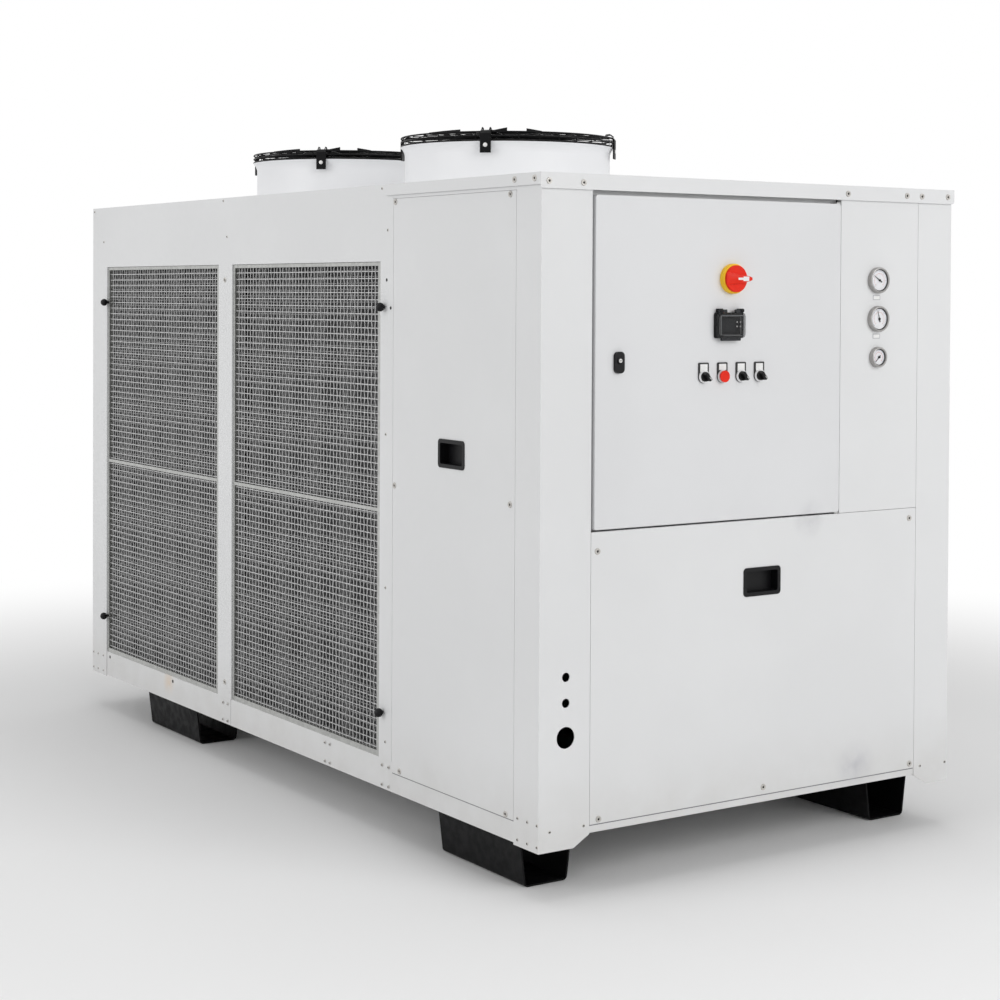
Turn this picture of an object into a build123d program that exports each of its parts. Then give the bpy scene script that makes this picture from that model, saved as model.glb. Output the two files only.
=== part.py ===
"""Air-cooled liquid chiller: a long sheet-metal cabinet with an electrical door at
the front, coils behind wire filters along both sides, and two fans on the roof."""

import os
from math import atan2, cos, degrees, radians, sin

from build123d import *

os.makedirs("parts", exist_ok=True)

# Cabinet
body_w = 1250.0
body_l = 2510.0
body_h = 1481.0
sheet = 2.0
panel_gap = 1.0
lip = 15.0
seat_gap = 0.3

# Feet
foot_h = 107.0
foot_w = 116.0
foot_l = 342.0
foot_lean = 13.0
foot_wall = 4.0
foot_bend_r = 12.0
foot_inset = 41.0
foot_front_setback = 112.0
foot_rear_setback = 376.0
foot_plate_t = 6.0
foot_plate_reach = 88.0

# Base
rail_bottom = 4.0
rail_top = 78.0
rail_flange = 50.0
front_rail_bottom = 27.0
cross_rail_w = 50.0
front_rail_cut = 37.0

# Corner posts
post_front_left_w = 137.0
post_front_right_w = 115.0
post_front_side_w = 96.0
post_rear_w = 113.0
post_cut_h = 25.0
post_cut_w = 43.0
cable_hole_x = 71.5
cable_hole_heights = (379.0, 322.0, 246.0)
cable_hole_rs = (10.2, 10.2, 24.0)

# Uprights along the sides
section_y = 657.0
middle_post_front = 626.0
middle_post_back = 687.0
mullion_front = 1506.0
mullion_back = 1591.0
upright_depth = 40.0
header_bottom = 1294.0

# Roof
cap_overhang = 5.0
cap_front_lip = 35.0
cap_side_lip = 27.0
cap_corner_r = 7.0

# Screwed panels
side_panel_bottom = 53.0
side_panel_top = 1445.0
lower_panel_bottom = 45.0
lower_panel_top = 692.0
panel_fold = 12.0
handle_w = 104.0
handle_h = 58.0
handle_rim = 4.5
handle_proud = 2.0
handle_depth = 24.0
handle_front_x = 634.0
handle_front_z = 547.5
handle_side_y = 359.0
handle_side_z = 845.0

# Electrical door
door_left = 142.0
door_right = 871.0
door_bottom = 697.0
door_top = 1436.0
door_proud = 6.0
door_fold = 20.0
door_gap = 6.0
door_corner_r = 6.0
door_edge_r = 1.5
hinge_inset = 6.0
hinge_pin_r = 2.5
hinge_clearance = 0.1
hinge_tab_t = 3.0
hinge_pin_in = 14.0
box_depth = 210.0
box_gap = 5.0
box_rim = 18.0
plate_margin = 30.0
plate_standoff = 12.0
plate_stud_r = 5.0
gauge_panel_fold = 14.0

# Main switch
switch_x = 530.0
switch_z = 1254.0
switch_base_r = 34.5
switch_base_h = 14.0
switch_base_round = 3.0
switch_disc_r = 31.0
switch_disc_h = 6.0
switch_butt_x = 26.0
switch_butt_w = 33.0
switch_tip_x = 37.0
switch_tip_r = 5.0
switch_handle_h = 21.0
switch_handle_round = 2.0

# Controller
controller_x = 519.0
controller_z = 1147.0
controller_w = 82.0
controller_h = 59.0
controller_proud = 8.0
controller_round = 5.0
cover_h = 9.0
cover_wall = 2.0
cover_chamfer = 1.2
cover_gap = 1.0
cover_pin_r = 1.5
cover_lug_r = 4.5
cover_lug_w = 8.0
cover_lug_inset = 6.0
cover_latch_w = 16.0
cover_latch_h = 6.0
cover_latch_t = 3.0

# Row of operators
operator_xs = (447.5, 503.0, 558.5, 614.0)
operator_z = 1030.0
operator_plate_w = 30.0
operator_plate_top = 32.0
operator_plate_round = 3.0
operator_plate_t = 2.5
operator_ring_r = 14.5
operator_ring_h = 4.0
operator_bore_r = 11.2
knob_r = 10.8
knob_h = 9.0
knob_grip_w = 6.5
knob_grip_l = 20.6
knob_grip_h = 11.0
knob_turn = 40.0
button_travel = 3.0
button_cap_r = 13.5
button_cap_h = 3.0

# Lock
lock_x = 205.0
lock_z = 1066.0
lock_w = 26.0
lock_h = 48.0
lock_t = 7.0
lock_round = 10.0

# Gauges
gauge_x = 997.0
gauge_zs = (1254.0, 1160.0, 1067.0)
gauge_rs = (31.5, 31.5, 25.0)
gauge_proud = 13.0
gauge_flange = 3.0
gauge_body_depth = 40.0

# Fans
fan_r = 284.0
fan_centres = (1065.0, 1963.0)
cowl_h = 137.0
cowl_flare = 12.0
cowl_flare_h = 26.0
cowl_foot = 22.0
cowl_below = 70.0
tip_gap = 9.0
hub_r = 72.0
hub_h = 74.0
blade_count = 5
blade_t = 4.0
blade_root_chord = 150.0
blade_tip_chord = 190.0
blade_root_pitch = 36.0
blade_tip_pitch = 20.0
motor_r = 60.0
motor_neck_r = 40.0
motor_h = 14.0
rotor_drop = 30.0
rotor_bore_gap = 0.3
blade_belly = 8.0
blade_root_sink = 4.0
guard_h = 27.0
guard_rise = 12.0
guard_arms = 4
wire = 4.0
guard_rings = (255.0, 205.0, 155.0)
guard_spokes = 24
arm_w = 22.0
arm_t = 4.0
arm_drop = 40.0
guard_hub_r = 62.0

# Coils and filters
coil_setback = 62.0
coil_t = 66.0
coil_end_gap = 8.0
filter_strip_top = 9.0
filter_strip_bottom = 13.0
filter_strip_front = 17.0
filter_strip_rear = 9.0
filter_frame_t = 14.0
filter_recess = 4.0
filter_bar_z = 684.5
filter_bar_w = 9.0
knob_ball_r = 11.0
knob_stem_r = 4.0
knob_out = 12.0
filter_knob_front_inset = 19.0
filter_knob_rear_inset = 6.0
filter_knob_zs = (192.0, 1183.0)

# Frame: the origin is on the ground under the middle of the whole chiller
switch_reach = door_proud + switch_base_h + seat_gap + switch_disc_h + switch_handle_h
front_y = (switch_reach - body_l) / 2
rear_y = front_y + body_l
left_x = -body_w / 2
right_x = body_w / 2
roof_z = foot_h + body_h


def depth(distance):
    """Place along the cabinet, counted back from its front face."""
    return front_y + distance


def across(distance):
    """Place across the cabinet, counted from its left face."""
    return left_x + distance


def height(distance):
    """Height above the lower end of the corner posts."""
    return foot_h + distance


def block(x_range, y_range, z_range, mode=Mode.ADD):
    """A rectangular piece between its low and high faces."""
    lows = [min(r) for r in (x_range, y_range, z_range)]
    spans = [max(r) - min(r) for r in (x_range, y_range, z_range)]
    with Locations(tuple(lows)):
        Box(*spans, align=(Align.MIN, Align.MIN, Align.MIN), mode=mode)


def finish(part, name):
    """Name a piece and write it."""
    part.label = name
    export_step(part, f"parts/{name}.step")


def mirror_to_right(left_part, name):
    """The right side of the cabinet repeats the left one."""
    with BuildPart() as right_piece:
        mirror(left_part, about=Plane.YZ)
    finish(right_piece.part, name)


# Base: a folded pan with channel rails all round, stiffened by cross rails over the feet
base_left = left_x + sheet
base_front = front_y + sheet
base_rear = rear_y - sheet
foot_starts = (foot_front_setback, body_l - foot_rear_setback - foot_l)

with BuildPart() as base_frame:
    with BuildSketch(Plane.XZ.offset(-base_front)):
        with BuildLine():
            Polyline(
                (base_left + rail_flange, height(rail_bottom)),
                (base_left, height(rail_bottom)),
                (base_left, height(rail_top)),
                (-base_left, height(rail_top)),
                (-base_left, height(rail_bottom)),
                (-base_left - rail_flange, height(rail_bottom)),
                (-base_left - rail_flange, height(rail_bottom) + sheet),
                (-base_left - sheet, height(rail_bottom) + sheet),
                (-base_left - sheet, height(rail_top) - sheet),
                (base_left + sheet, height(rail_top) - sheet),
                (base_left + sheet, height(rail_bottom) + sheet),
                (base_left + rail_flange, height(rail_bottom) + sheet),
                close=True,
            )
        make_face()
    extrude(amount=-(base_rear - base_front))
    side_cut = (base_left - 1, -base_left + 1)
    block(
        side_cut,
        (base_front, base_front + front_rail_cut),
        (height(rail_bottom), height(front_rail_bottom)),
        mode=Mode.SUBTRACT,
    )
    for end in (base_front, base_rear - sheet):
        block(
            (base_left + sheet, -base_left - sheet),
            (end, end + sheet),
            (height(front_rail_bottom), height(rail_top) - sheet),
        )
    for start in foot_starts:
        for along in (start + cross_rail_w, start + foot_l - 2 * cross_rail_w):
            block(
                (base_left + sheet, -base_left - sheet),
                (depth(along), depth(along + cross_rail_w)),
                (height(rail_bottom) + sheet, height(rail_top) - sheet),
            )
            block(
                (base_left + 2 * sheet, -base_left - 2 * sheet),
                (depth(along) + 2 * sheet, depth(along + cross_rail_w) - 2 * sheet),
                (height(rail_bottom) + 2 * sheet, height(rail_top) - sheet),
                mode=Mode.SUBTRACT,
            )
    block(
        (base_left + sheet, -base_left - sheet),
        (base_front + sheet, base_rear - sheet),
        (height(rail_top) - sheet, height(rail_top)),
    )
finish(base_frame.part, "base_frame")


# Feet: open-ended troughs with leaning walls under a bolted plate
foot_top = height(rail_bottom) - foot_plate_t


def make_foot(start, name, plate_to_front):
    """One left foot, from its front end backwards."""
    middle = across(foot_inset + foot_w / 2)
    with BuildPart() as foot:
        with BuildSketch(Plane.XZ.offset(-depth(start))) as foot_profile:
            with BuildLine():
                Polyline(
                    (middle - foot_w / 2, 0),
                    (middle + foot_w / 2, 0),
                    (middle + foot_w / 2 + foot_lean, foot_top),
                    (middle - foot_w / 2 - foot_lean, foot_top),
                    close=True,
                )
            make_face()
            lower_bends = foot_profile.vertices().group_by(Axis.Y)[0]
            fillet(lower_bends, foot_bend_r)
            with BuildLine():
                Polyline(
                    (middle - foot_w / 2 + foot_wall, foot_wall),
                    (middle + foot_w / 2 - foot_wall, foot_wall),
                    (middle + foot_w / 2 + foot_lean - foot_wall, foot_top),
                    (middle - foot_w / 2 - foot_lean + foot_wall, foot_top),
                    close=True,
                )
            make_face(mode=Mode.SUBTRACT)
        extrude(amount=-foot_l)
        block(
            (middle - foot_w / 2 - foot_lean, middle + foot_w / 2 + foot_lean),
            (depth(start - plate_to_front), depth(start + foot_l + foot_plate_reach)),
            (foot_top, foot_top + foot_plate_t),
        )
    finish(foot.part, f"{name}_left")
    mirror_to_right(foot.part, f"{name}_right")


for foot_start, foot_name in zip(foot_starts, ("foot_front", "foot_rear")):
    make_foot(foot_start, foot_name, 0)


# Corner posts: folded angles with returned edges; the front ones are cut away below
post_top = roof_z - sheet


def make_corner_post(name, front_w, side_w, side, end, z_top, holes=False):
    """side is -1 at the left and 1 at the right, end is 1 at the front and -1 behind."""
    x0 = side * body_w / 2
    y0 = front_y if end == 1 else rear_y
    inward_x = -side
    inward_y = end
    with BuildPart() as post:
        with BuildSketch(Plane.XY.offset(foot_h)):
            with BuildLine():
                Polyline(
                    (x0, y0),
                    (x0 + inward_x * front_w, y0),
                    (x0 + inward_x * front_w, y0 + inward_y * lip),
                    (x0 + inward_x * (front_w - sheet), y0 + inward_y * lip),
                    (x0 + inward_x * (front_w - sheet), y0 + inward_y * sheet),
                    (x0 + inward_x * sheet, y0 + inward_y * sheet),
                    (x0 + inward_x * sheet, y0 + inward_y * (side_w - sheet)),
                    (x0 + inward_x * lip, y0 + inward_y * (side_w - sheet)),
                    (x0 + inward_x * lip, y0 + inward_y * side_w),
                    (x0, y0 + inward_y * side_w),
                    close=True,
                )
            make_face()
        extrude(amount=z_top - foot_h)
        block(
            (x0 + inward_x * sheet, x0 + inward_x * (front_w + 1)),
            (y0 + inward_y * sheet, y0 + inward_y * (side_w + 1)),
            (foot_h, height(rail_top)),
            mode=Mode.SUBTRACT,
        )
        if end == 1:
            with BuildSketch(Plane.XZ.offset(-y0)):
                with BuildLine():
                    Polyline(
                        (x0 + inward_x * (front_w - post_cut_w), foot_h - 1),
                        (x0 + inward_x * (front_w - post_cut_w), foot_h),
                        (x0 + inward_x * front_w, height(post_cut_h)),
                        (x0 + inward_x * (front_w + 1), foot_h - 1),
                        close=True,
                    )
                make_face()
            extrude(amount=-2 * lip, mode=Mode.SUBTRACT)
        if holes:
            for hole_height, hole_r in zip(cable_hole_heights, cable_hole_rs):
                with BuildSketch(Plane.XZ.offset(-y0)):
                    with Locations((across(cable_hole_x), height(hole_height))):
                        Circle(hole_r)
                extrude(amount=-sheet, mode=Mode.SUBTRACT)
    finish(post.part, name)


make_corner_post("post_front_left", post_front_left_w, post_front_side_w, -1, 1, post_top, holes=True)
make_corner_post("post_front_right", post_front_right_w, post_front_side_w, 1, 1, post_top)
make_corner_post("post_rear_left", post_rear_w, post_rear_w, -1, -1, height(header_bottom))
make_corner_post("post_rear_right", post_rear_w, post_rear_w, 1, -1, height(header_bottom))


# Uprights between the panels and the filters, folded as channels open to the inside
def channel(y_range, z_range, web_x, flange_depth):
    """A channel with its web on the outer face."""
    block((web_x, web_x + flange_depth), y_range, z_range)
    block(
        (web_x + sheet, web_x + flange_depth + 1),
        (min(y_range) + sheet, max(y_range) - sheet),
        (min(z_range) - 1, max(z_range) + 1),
        mode=Mode.SUBTRACT,
    )


with BuildPart() as uprights_left:
    channel(
        (depth(middle_post_front), depth(middle_post_back)),
        (height(rail_top), height(header_bottom)),
        left_x,
        upright_depth,
    )
    channel(
        (depth(mullion_front), depth(mullion_back)),
        (height(rail_top), height(header_bottom)),
        left_x,
        upright_depth,
    )
    block(
        (left_x, left_x + sheet),
        (depth(middle_post_front), depth(section_y)),
        (height(header_bottom), post_top),
    )
    block(
        (left_x, left_x + upright_depth),
        (depth(middle_post_front), depth(middle_post_front) + sheet),
        (height(header_bottom), post_top),
    )
finish(uprights_left.part, "uprights_left")
mirror_to_right(uprights_left.part, "uprights_right")


# Headers over the filters: a folded sheet along each side and across the rear
with BuildPart() as header_left:
    with BuildSketch(Plane.XZ.offset(-depth(section_y))):
        with BuildLine():
            Polyline(
                (left_x, height(header_bottom)),
                (left_x + upright_depth, height(header_bottom)),
                (left_x + upright_depth, height(header_bottom) + sheet),
                (left_x + sheet, height(header_bottom) + sheet),
                (left_x + sheet, post_top - sheet),
                (left_x + upright_depth, post_top - sheet),
                (left_x + upright_depth, post_top),
                (left_x, post_top),
                close=True,
            )
        make_face()
    extrude(amount=-(rear_y - sheet - depth(section_y)))
finish(header_left.part, "header_left")
mirror_to_right(header_left.part, "header_right")

header_inner = left_x + upright_depth
with BuildPart() as header_rear:
    with BuildSketch(Plane.YZ.offset(header_inner)):
        with BuildLine():
            Polyline(
                (rear_y, height(header_bottom)),
                (rear_y - upright_depth, height(header_bottom)),
                (rear_y - upright_depth, height(header_bottom) + sheet),
                (rear_y - sheet, height(header_bottom) + sheet),
                (rear_y - sheet, post_top - sheet),
                (rear_y - upright_depth, post_top - sheet),
                (rear_y - upright_depth, post_top),
                (rear_y, post_top),
                close=True,
            )
        make_face()
    extrude(amount=-2 * header_inner)
    block((left_x, right_x), (rear_y - sheet, rear_y), (height(header_bottom), post_top))
finish(header_rear.part, "header_rear")


# Screwed panels: trays with their edges folded back, cut out for the handle cups
def tray(face, centre, size, fold, corner_r=sheet):
    """A panel with folded edges; the face's normal points out of the cabinet."""
    with BuildSketch(face) as outer:
        with Locations(centre):
            RectangleRounded(*size, corner_r)
    extrude(outer.sketch, amount=-fold)
    with BuildSketch(face.offset(-sheet)) as inner:
        with Locations(centre):
            Rectangle(size[0] - 2 * sheet, size[1] - 2 * sheet)
        if corner_r > sheet:
            fillet(inner.vertices(), corner_r - sheet)
    extrude(inner.sketch, amount=-fold, mode=Mode.SUBTRACT)


def middle(low, high):
    """Half way between two places."""
    return (low + high) / 2


front_face = Plane.XZ.offset(-front_y)
left_face = Plane(origin=(left_x, 0, 0), x_dir=(0, -1, 0), z_dir=(-1, 0, 0))
rear_face = Plane(origin=(0, rear_y, 0), x_dir=(-1, 0, 0), z_dir=(0, 1, 0))

with BuildPart() as side_panel_left:
    panel_front = depth(post_front_side_w) + panel_gap
    panel_back = depth(middle_post_front) - panel_gap
    panel_low = height(side_panel_bottom)
    panel_high = height(side_panel_top)
    tray(
        left_face,
        (-middle(panel_front, panel_back), middle(panel_low, panel_high)),
        (panel_back - panel_front, panel_high - panel_low),
        panel_fold,
    )
    block(
        (left_x + sheet, left_x + 2 * panel_fold),
        (panel_front - 1, panel_back + 1),
        (panel_low - 1, height(rail_top) + panel_gap),
        mode=Mode.SUBTRACT,
    )
    with BuildSketch(left_face):
        with Locations((-depth(handle_side_y), height(handle_side_z))):
            Rectangle(handle_w, handle_h)
    extrude(amount=-sheet, mode=Mode.SUBTRACT)
finish(side_panel_left.part, "side_panel_left")
mirror_to_right(side_panel_left.part, "side_panel_right")

with BuildPart() as lower_front_panel:
    panel_left = across(post_front_left_w) + panel_gap
    panel_right = right_x - post_front_right_w - panel_gap
    panel_low = height(lower_panel_bottom)
    panel_high = height(lower_panel_top)
    tray(
        front_face,
        (middle(panel_left, panel_right), middle(panel_low, panel_high)),
        (panel_right - panel_left, panel_high - panel_low),
        panel_fold,
    )
    block(
        (panel_left - 1, panel_right + 1),
        (front_y + sheet, front_y + 2 * panel_fold),
        (panel_low - 1, height(rail_top) + panel_gap),
        mode=Mode.SUBTRACT,
    )
    with BuildSketch(front_face):
        with Locations((across(handle_front_x), height(handle_front_z))):
            Rectangle(handle_w, handle_h)
    extrude(amount=-sheet, mode=Mode.SUBTRACT)
finish(lower_front_panel.part, "lower_front_panel")

with BuildPart() as rear_panel:
    panel_left = across(post_rear_w) + panel_gap
    panel_low = height(lower_panel_bottom)
    panel_high = height(header_bottom) - panel_gap
    tray(
        rear_face,
        (0, middle(panel_low, panel_high)),
        (-2 * panel_left, panel_high - panel_low),
        panel_fold,
    )
    block(
        (panel_left - 1, -panel_left + 1),
        (rear_y - sheet, rear_y - 2 * panel_fold),
        (panel_low - 1, height(rail_top) + panel_gap),
        mode=Mode.SUBTRACT,
    )
finish(rear_panel.part, "rear_panel")


# Handle cups: a rimmed cup pushed into each cut-out from outside
def handle_cup(face, centre):
    """A rectangular cup with a flat rim and a lip to pull on."""
    fit = 2 * seat_gap
    with BuildPart() as cup:
        with BuildSketch(face):
            with Locations(centre):
                RectangleRounded(handle_w + 2 * handle_rim, handle_h + 2 * handle_rim, 2 * handle_rim)
        extrude(amount=handle_proud)
        with BuildSketch(face):
            with Locations(centre):
                Rectangle(handle_w - fit, handle_h - fit)
        extrude(amount=-handle_depth)
        with BuildSketch(face.offset(handle_proud)):
            with Locations(centre):
                RectangleRounded(handle_w - 2 * handle_rim, handle_h - 2 * handle_rim, handle_rim)
        extrude(amount=-(handle_depth + handle_proud - sheet), mode=Mode.SUBTRACT)
    return cup.part


side_cup = handle_cup(left_face, (-depth(handle_side_y), height(handle_side_z)))
finish(side_cup, "side_handle_left")
mirror_to_right(side_cup, "side_handle_right")
front_cup = handle_cup(front_face, (across(handle_front_x), height(handle_front_z)))
finish(front_cup, "front_handle")


# Bulkhead between the machine room and the coil room
with BuildPart() as bulkhead:
    block(
        (left_x + upright_depth + panel_gap, -left_x - upright_depth - panel_gap),
        (depth(section_y) - sheet, depth(section_y)),
        (height(rail_top), post_top),
    )
finish(bulkhead.part, "bulkhead")


# Roof: a lipped cover over the machine room and a deck with two fan openings
with BuildPart() as top_cover:
    cover_out = left_x - cap_overhang
    cover_front = front_y - cap_overhang
    block((cover_out, -cover_out), (cover_front, depth(section_y)), (post_top, roof_z))
    block((cover_out, -cover_out), (cover_front, cover_front + sheet), (roof_z - cap_front_lip, post_top))
    for lip_x in (cover_out, -cover_out - sheet):
        block((lip_x, lip_x + sheet), (cover_front, depth(section_y)), (roof_z - cap_side_lip, post_top))
    lip_corners = top_cover.edges().filter_by(Axis.Y).group_by(Axis.Z)[0]
    fillet(lip_corners, cap_corner_r)
finish(top_cover.part, "top_cover")

cowl_inner_r = fan_r - sheet
deck_bore_r = fan_r + seat_gap
with BuildPart() as fan_deck:
    block((left_x, right_x), (depth(section_y) + panel_gap, rear_y), (post_top, roof_z))
    for fan_centre in fan_centres:
        with BuildSketch(Plane.XY.offset(roof_z)):
            with Locations((0, depth(fan_centre))):
                Circle(deck_bore_r)
        extrude(amount=-sheet, mode=Mode.SUBTRACT)
finish(fan_deck.part, "fan_deck")


# Fans: cowl, guard with its arms, motor and rotor, from the centre outwards in section
rim_z = roof_z + cowl_h
rim_r = fan_r + cowl_flare
guard_top = rim_z + guard_h
skirt_r = rim_r - wire / 2
rotor_r = cowl_inner_r - tip_gap


def section_plane(centre):
    """Upright half-plane through a fan's axis."""
    return Plane(origin=(0, depth(centre), 0), x_dir=(1, 0, 0), z_dir=(0, -1, 0))


def make_cowl(centre):
    """Rolled cowl with a foot flange on the deck and a flared rim."""
    axis = Axis((0, depth(centre), 0), (0, 0, 1))
    flare_start = rim_z - cowl_flare_h
    with BuildPart() as cowl:
        with BuildSketch(section_plane(centre)):
            with BuildLine():
                Line((cowl_inner_r, roof_z - cowl_below), (cowl_inner_r, flare_start))
                inner = Spline(
                    (cowl_inner_r, flare_start),
                    (rim_r - sheet, rim_z),
                    tangents=((0, 1), (1, 1)),
                )
                Line(inner @ 1, (rim_r, rim_z))
                outer = Spline(
                    (rim_r, rim_z),
                    (fan_r, flare_start),
                    tangents=((-1, -1), (0, -1)),
                )
                Polyline(
                    outer @ 1,
                    (fan_r, roof_z + sheet),
                    (fan_r + cowl_foot, roof_z + sheet),
                    (fan_r + cowl_foot, roof_z),
                    (fan_r, roof_z),
                    (fan_r, roof_z - cowl_below),
                    (cowl_inner_r, roof_z - cowl_below),
                )
            make_face()
        revolve(axis=axis)
    return cowl.part


def make_guard(centre):
    """Rings and spokes of wire, with four flat arms that carry the motor."""
    y = depth(centre)
    axis = Axis((0, y, 0), (0, 0, 1))
    hub_z = guard_top + guard_rise
    with BuildPart() as guard:
        with BuildSketch(section_plane(centre)):
            for ring_z in (rim_z + wire / 2, guard_top - wire / 2):
                with Locations((skirt_r, ring_z)):
                    Rectangle(wire, wire)
            for ring_r in guard_rings:
                with Locations((ring_r, guard_top - wire / 2)):
                    Rectangle(wire, wire)
        revolve(axis=axis)
        for index in range(guard_spokes):
            turn = 360.0 / guard_spokes * (index + 0.5)
            along = Plane(
                origin=(0, y, 0),
                x_dir=(cos(radians(turn)), sin(radians(turn)), 0),
                z_dir=(sin(radians(turn)), -cos(radians(turn)), 0),
            )
            with BuildSketch(along):
                with BuildLine():
                    Polyline(
                        (guard_hub_r - wire, guard_top),
                        (skirt_r + wire / 2, guard_top),
                        (skirt_r + wire / 2, rim_z),
                        (skirt_r - wire / 2, rim_z),
                        (skirt_r - wire / 2, guard_top - wire),
                        (guard_hub_r - wire, guard_top - wire),
                        close=True,
                    )
                make_face()
            extrude(amount=wire / 2, both=True)
        for index in range(guard_arms):
            turn = 360.0 / guard_arms * (index + 0.5)
            along = Plane(
                origin=(0, y, 0),
                x_dir=(cos(radians(turn)), sin(radians(turn)), 0),
                z_dir=(sin(radians(turn)), -cos(radians(turn)), 0),
            )
            with BuildSketch(along):
                with BuildLine():
                    Polyline(
                        (guard_hub_r - wire, hub_z),
                        (rim_r + arm_t, guard_top + arm_t),
                        (rim_r + arm_t, rim_z - arm_drop),
                        (rim_r + seat_gap, rim_z - arm_drop),
                        (rim_r + seat_gap, guard_top),
                        (skirt_r - wire, guard_top),
                        (guard_hub_r - wire, hub_z - arm_t),
                        close=True,
                    )
                make_face()
            extrude(amount=arm_w / 2, both=True)
        with BuildSketch(Plane.XY.offset(guard_top - wire)):
            with Locations((0, y)):
                Circle(guard_hub_r)
        extrude(amount=guard_rise + wire)
    return guard.part


rotor_top = guard_top - wire - rotor_drop


def make_motor(centre):
    """Motor stator hanging under the guard's hub plate."""
    y = depth(centre)
    with BuildPart() as motor:
        with BuildSketch(Plane.XY.offset(guard_top - wire)):
            with Locations((0, y)):
                Circle(motor_r)
        extrude(amount=-motor_h)
        with BuildSketch(Plane.XY.offset(guard_top - wire - motor_h)):
            with Locations((0, y)):
                Circle(motor_neck_r)
        extrude(amount=-(rotor_drop - motor_h) - hub_h / 2)
    return motor.part


def make_rotor(centre):
    """External rotor hub with twisted, swept blades."""
    y = depth(centre)
    hub_bore_r = motor_neck_r + rotor_bore_gap
    radii = (hub_r - blade_root_sink, middle(hub_r, rotor_r), rotor_r)
    chords = (blade_root_chord, middle(blade_root_chord, blade_tip_chord) + blade_belly, blade_tip_chord)
    pitches = (blade_root_pitch, middle(blade_root_pitch, blade_tip_pitch), blade_tip_pitch)
    with BuildPart() as rotor:
        for index in range(blade_count):
            turn = 360.0 / blade_count * index
            for radius, chord, pitch in zip(radii, chords, pitches):
                radial = Vector(cos(radians(turn)), sin(radians(turn)), 0)
                around = Vector(-sin(radians(turn)), cos(radians(turn)), 0)
                up = Vector(0, 0, 1)
                chord_dir = around * cos(radians(pitch)) + up * sin(radians(pitch))
                spot = Vector(0, y, rotor_top - hub_h / 2) + radial * radius
                with BuildSketch(Plane(origin=spot, x_dir=chord_dir, z_dir=radial)):
                    Rectangle(chord, blade_t)
            loft()
        with BuildSketch(Plane.XY.offset(rotor_top - 2 * hub_h)):
            with Locations((0, y)):
                Circle(rotor_r)
        extrude(amount=3 * hub_h, mode=Mode.INTERSECT)
        with BuildSketch(Plane.XY.offset(rotor_top - hub_h)):
            with Locations((0, y)):
                Circle(hub_r)
        extrude(amount=hub_h)
        with BuildSketch(Plane.XY.offset(rotor_top)):
            with Locations((0, y)):
                Circle(hub_bore_r)
        extrude(amount=-(hub_h / 2 + 1), mode=Mode.SUBTRACT)
    return rotor.part


fan_pieces = {
    "cowl": make_cowl(fan_centres[0]),
    "guard": make_guard(fan_centres[0]),
    "motor": make_motor(fan_centres[0]),
    "rotor": make_rotor(fan_centres[0]),
}
for piece_name, fan_piece in fan_pieces.items():
    for fan_centre, fan_name in zip(fan_centres, ("front", "rear")):
        step_back = Location((0, fan_centre - fan_centres[0], 0))
        finish(fan_piece.moved(step_back), f"fan_{piece_name}_{fan_name}")


# Coils: an upright finned block behind the filters of each side
coil_front = depth(section_y) + coil_end_gap
coil_back = rear_y - post_rear_w - coil_end_gap + upright_depth
with BuildPart() as coil_left:
    block(
        (left_x + coil_setback, left_x + coil_setback + coil_t),
        (coil_front, coil_back),
        (height(rail_top), height(header_bottom) - coil_end_gap),
    )
finish(coil_left.part, "coil_left")
mirror_to_right(coil_left.part, "coil_right")


# Filters: in each bay a galvanised channel frame with a bar across, round a wire mat
filter_outer = left_x + filter_recess
filter_inner = filter_outer + filter_frame_t
bays = (
    (depth(middle_post_back) + panel_gap, depth(mullion_front) - panel_gap),
    (depth(mullion_back) + panel_gap, rear_y - post_rear_w - panel_gap),
)
filter_low = height(rail_top)
filter_high = height(header_bottom) - panel_gap

with BuildPart() as filter_frames_left:
    for bay in bays:
        opening = (min(bay) + filter_strip_front, max(bay) - filter_strip_rear)
        block((filter_outer, filter_inner), bay, (filter_low, filter_high))
        block(
            (filter_outer + sheet, filter_inner - sheet),
            (min(bay) + sheet, max(bay) - sheet),
            (filter_low + sheet, filter_high - sheet),
            mode=Mode.SUBTRACT,
        )
        block(
            (filter_outer - 1, filter_inner + 1),
            opening,
            (filter_low + filter_strip_bottom, filter_high - filter_strip_top),
            mode=Mode.SUBTRACT,
        )
        block(
            (filter_outer, filter_outer + sheet),
            opening,
            (height(filter_bar_z) - filter_bar_w / 2, height(filter_bar_z) + filter_bar_w / 2),
        )
finish(filter_frames_left.part, "filter_frames_left")
mirror_to_right(filter_frames_left.part, "filter_frames_right")

mat_gap = sheet + seat_gap
with BuildPart() as filter_mesh_left:
    for bay in bays:
        block(
            (filter_outer + sheet, filter_inner - mat_gap),
            (min(bay) + mat_gap, max(bay) - mat_gap),
            (filter_low + mat_gap, filter_high - mat_gap),
        )
finish(filter_mesh_left.part, "filter_mesh_left")
mirror_to_right(filter_mesh_left.part, "filter_mesh_right")

# Ball knobs that hold the filters: one on the middle post, one on the rear frame
filter_knob_ys = (middle_post_back - filter_knob_front_inset, body_l - post_rear_w - filter_knob_rear_inset)
with BuildPart() as filter_knobs:
    for knob_y, knob_seat in zip(filter_knob_ys, (left_x, filter_outer)):
        for knob_z in filter_knob_zs:
            spot = (knob_seat, depth(knob_y), height(knob_z))
            with BuildSketch(Plane(origin=spot, z_dir=(-1, 0, 0))):
                Circle(knob_stem_r)
            extrude(amount=knob_seat - left_x + knob_out)
            with Locations((left_x - knob_out, depth(knob_y), height(knob_z))):
                Sphere(knob_ball_r)
    mirror(about=Plane.YZ)
finish(filter_knobs.part, "filter_knobs")


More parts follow.
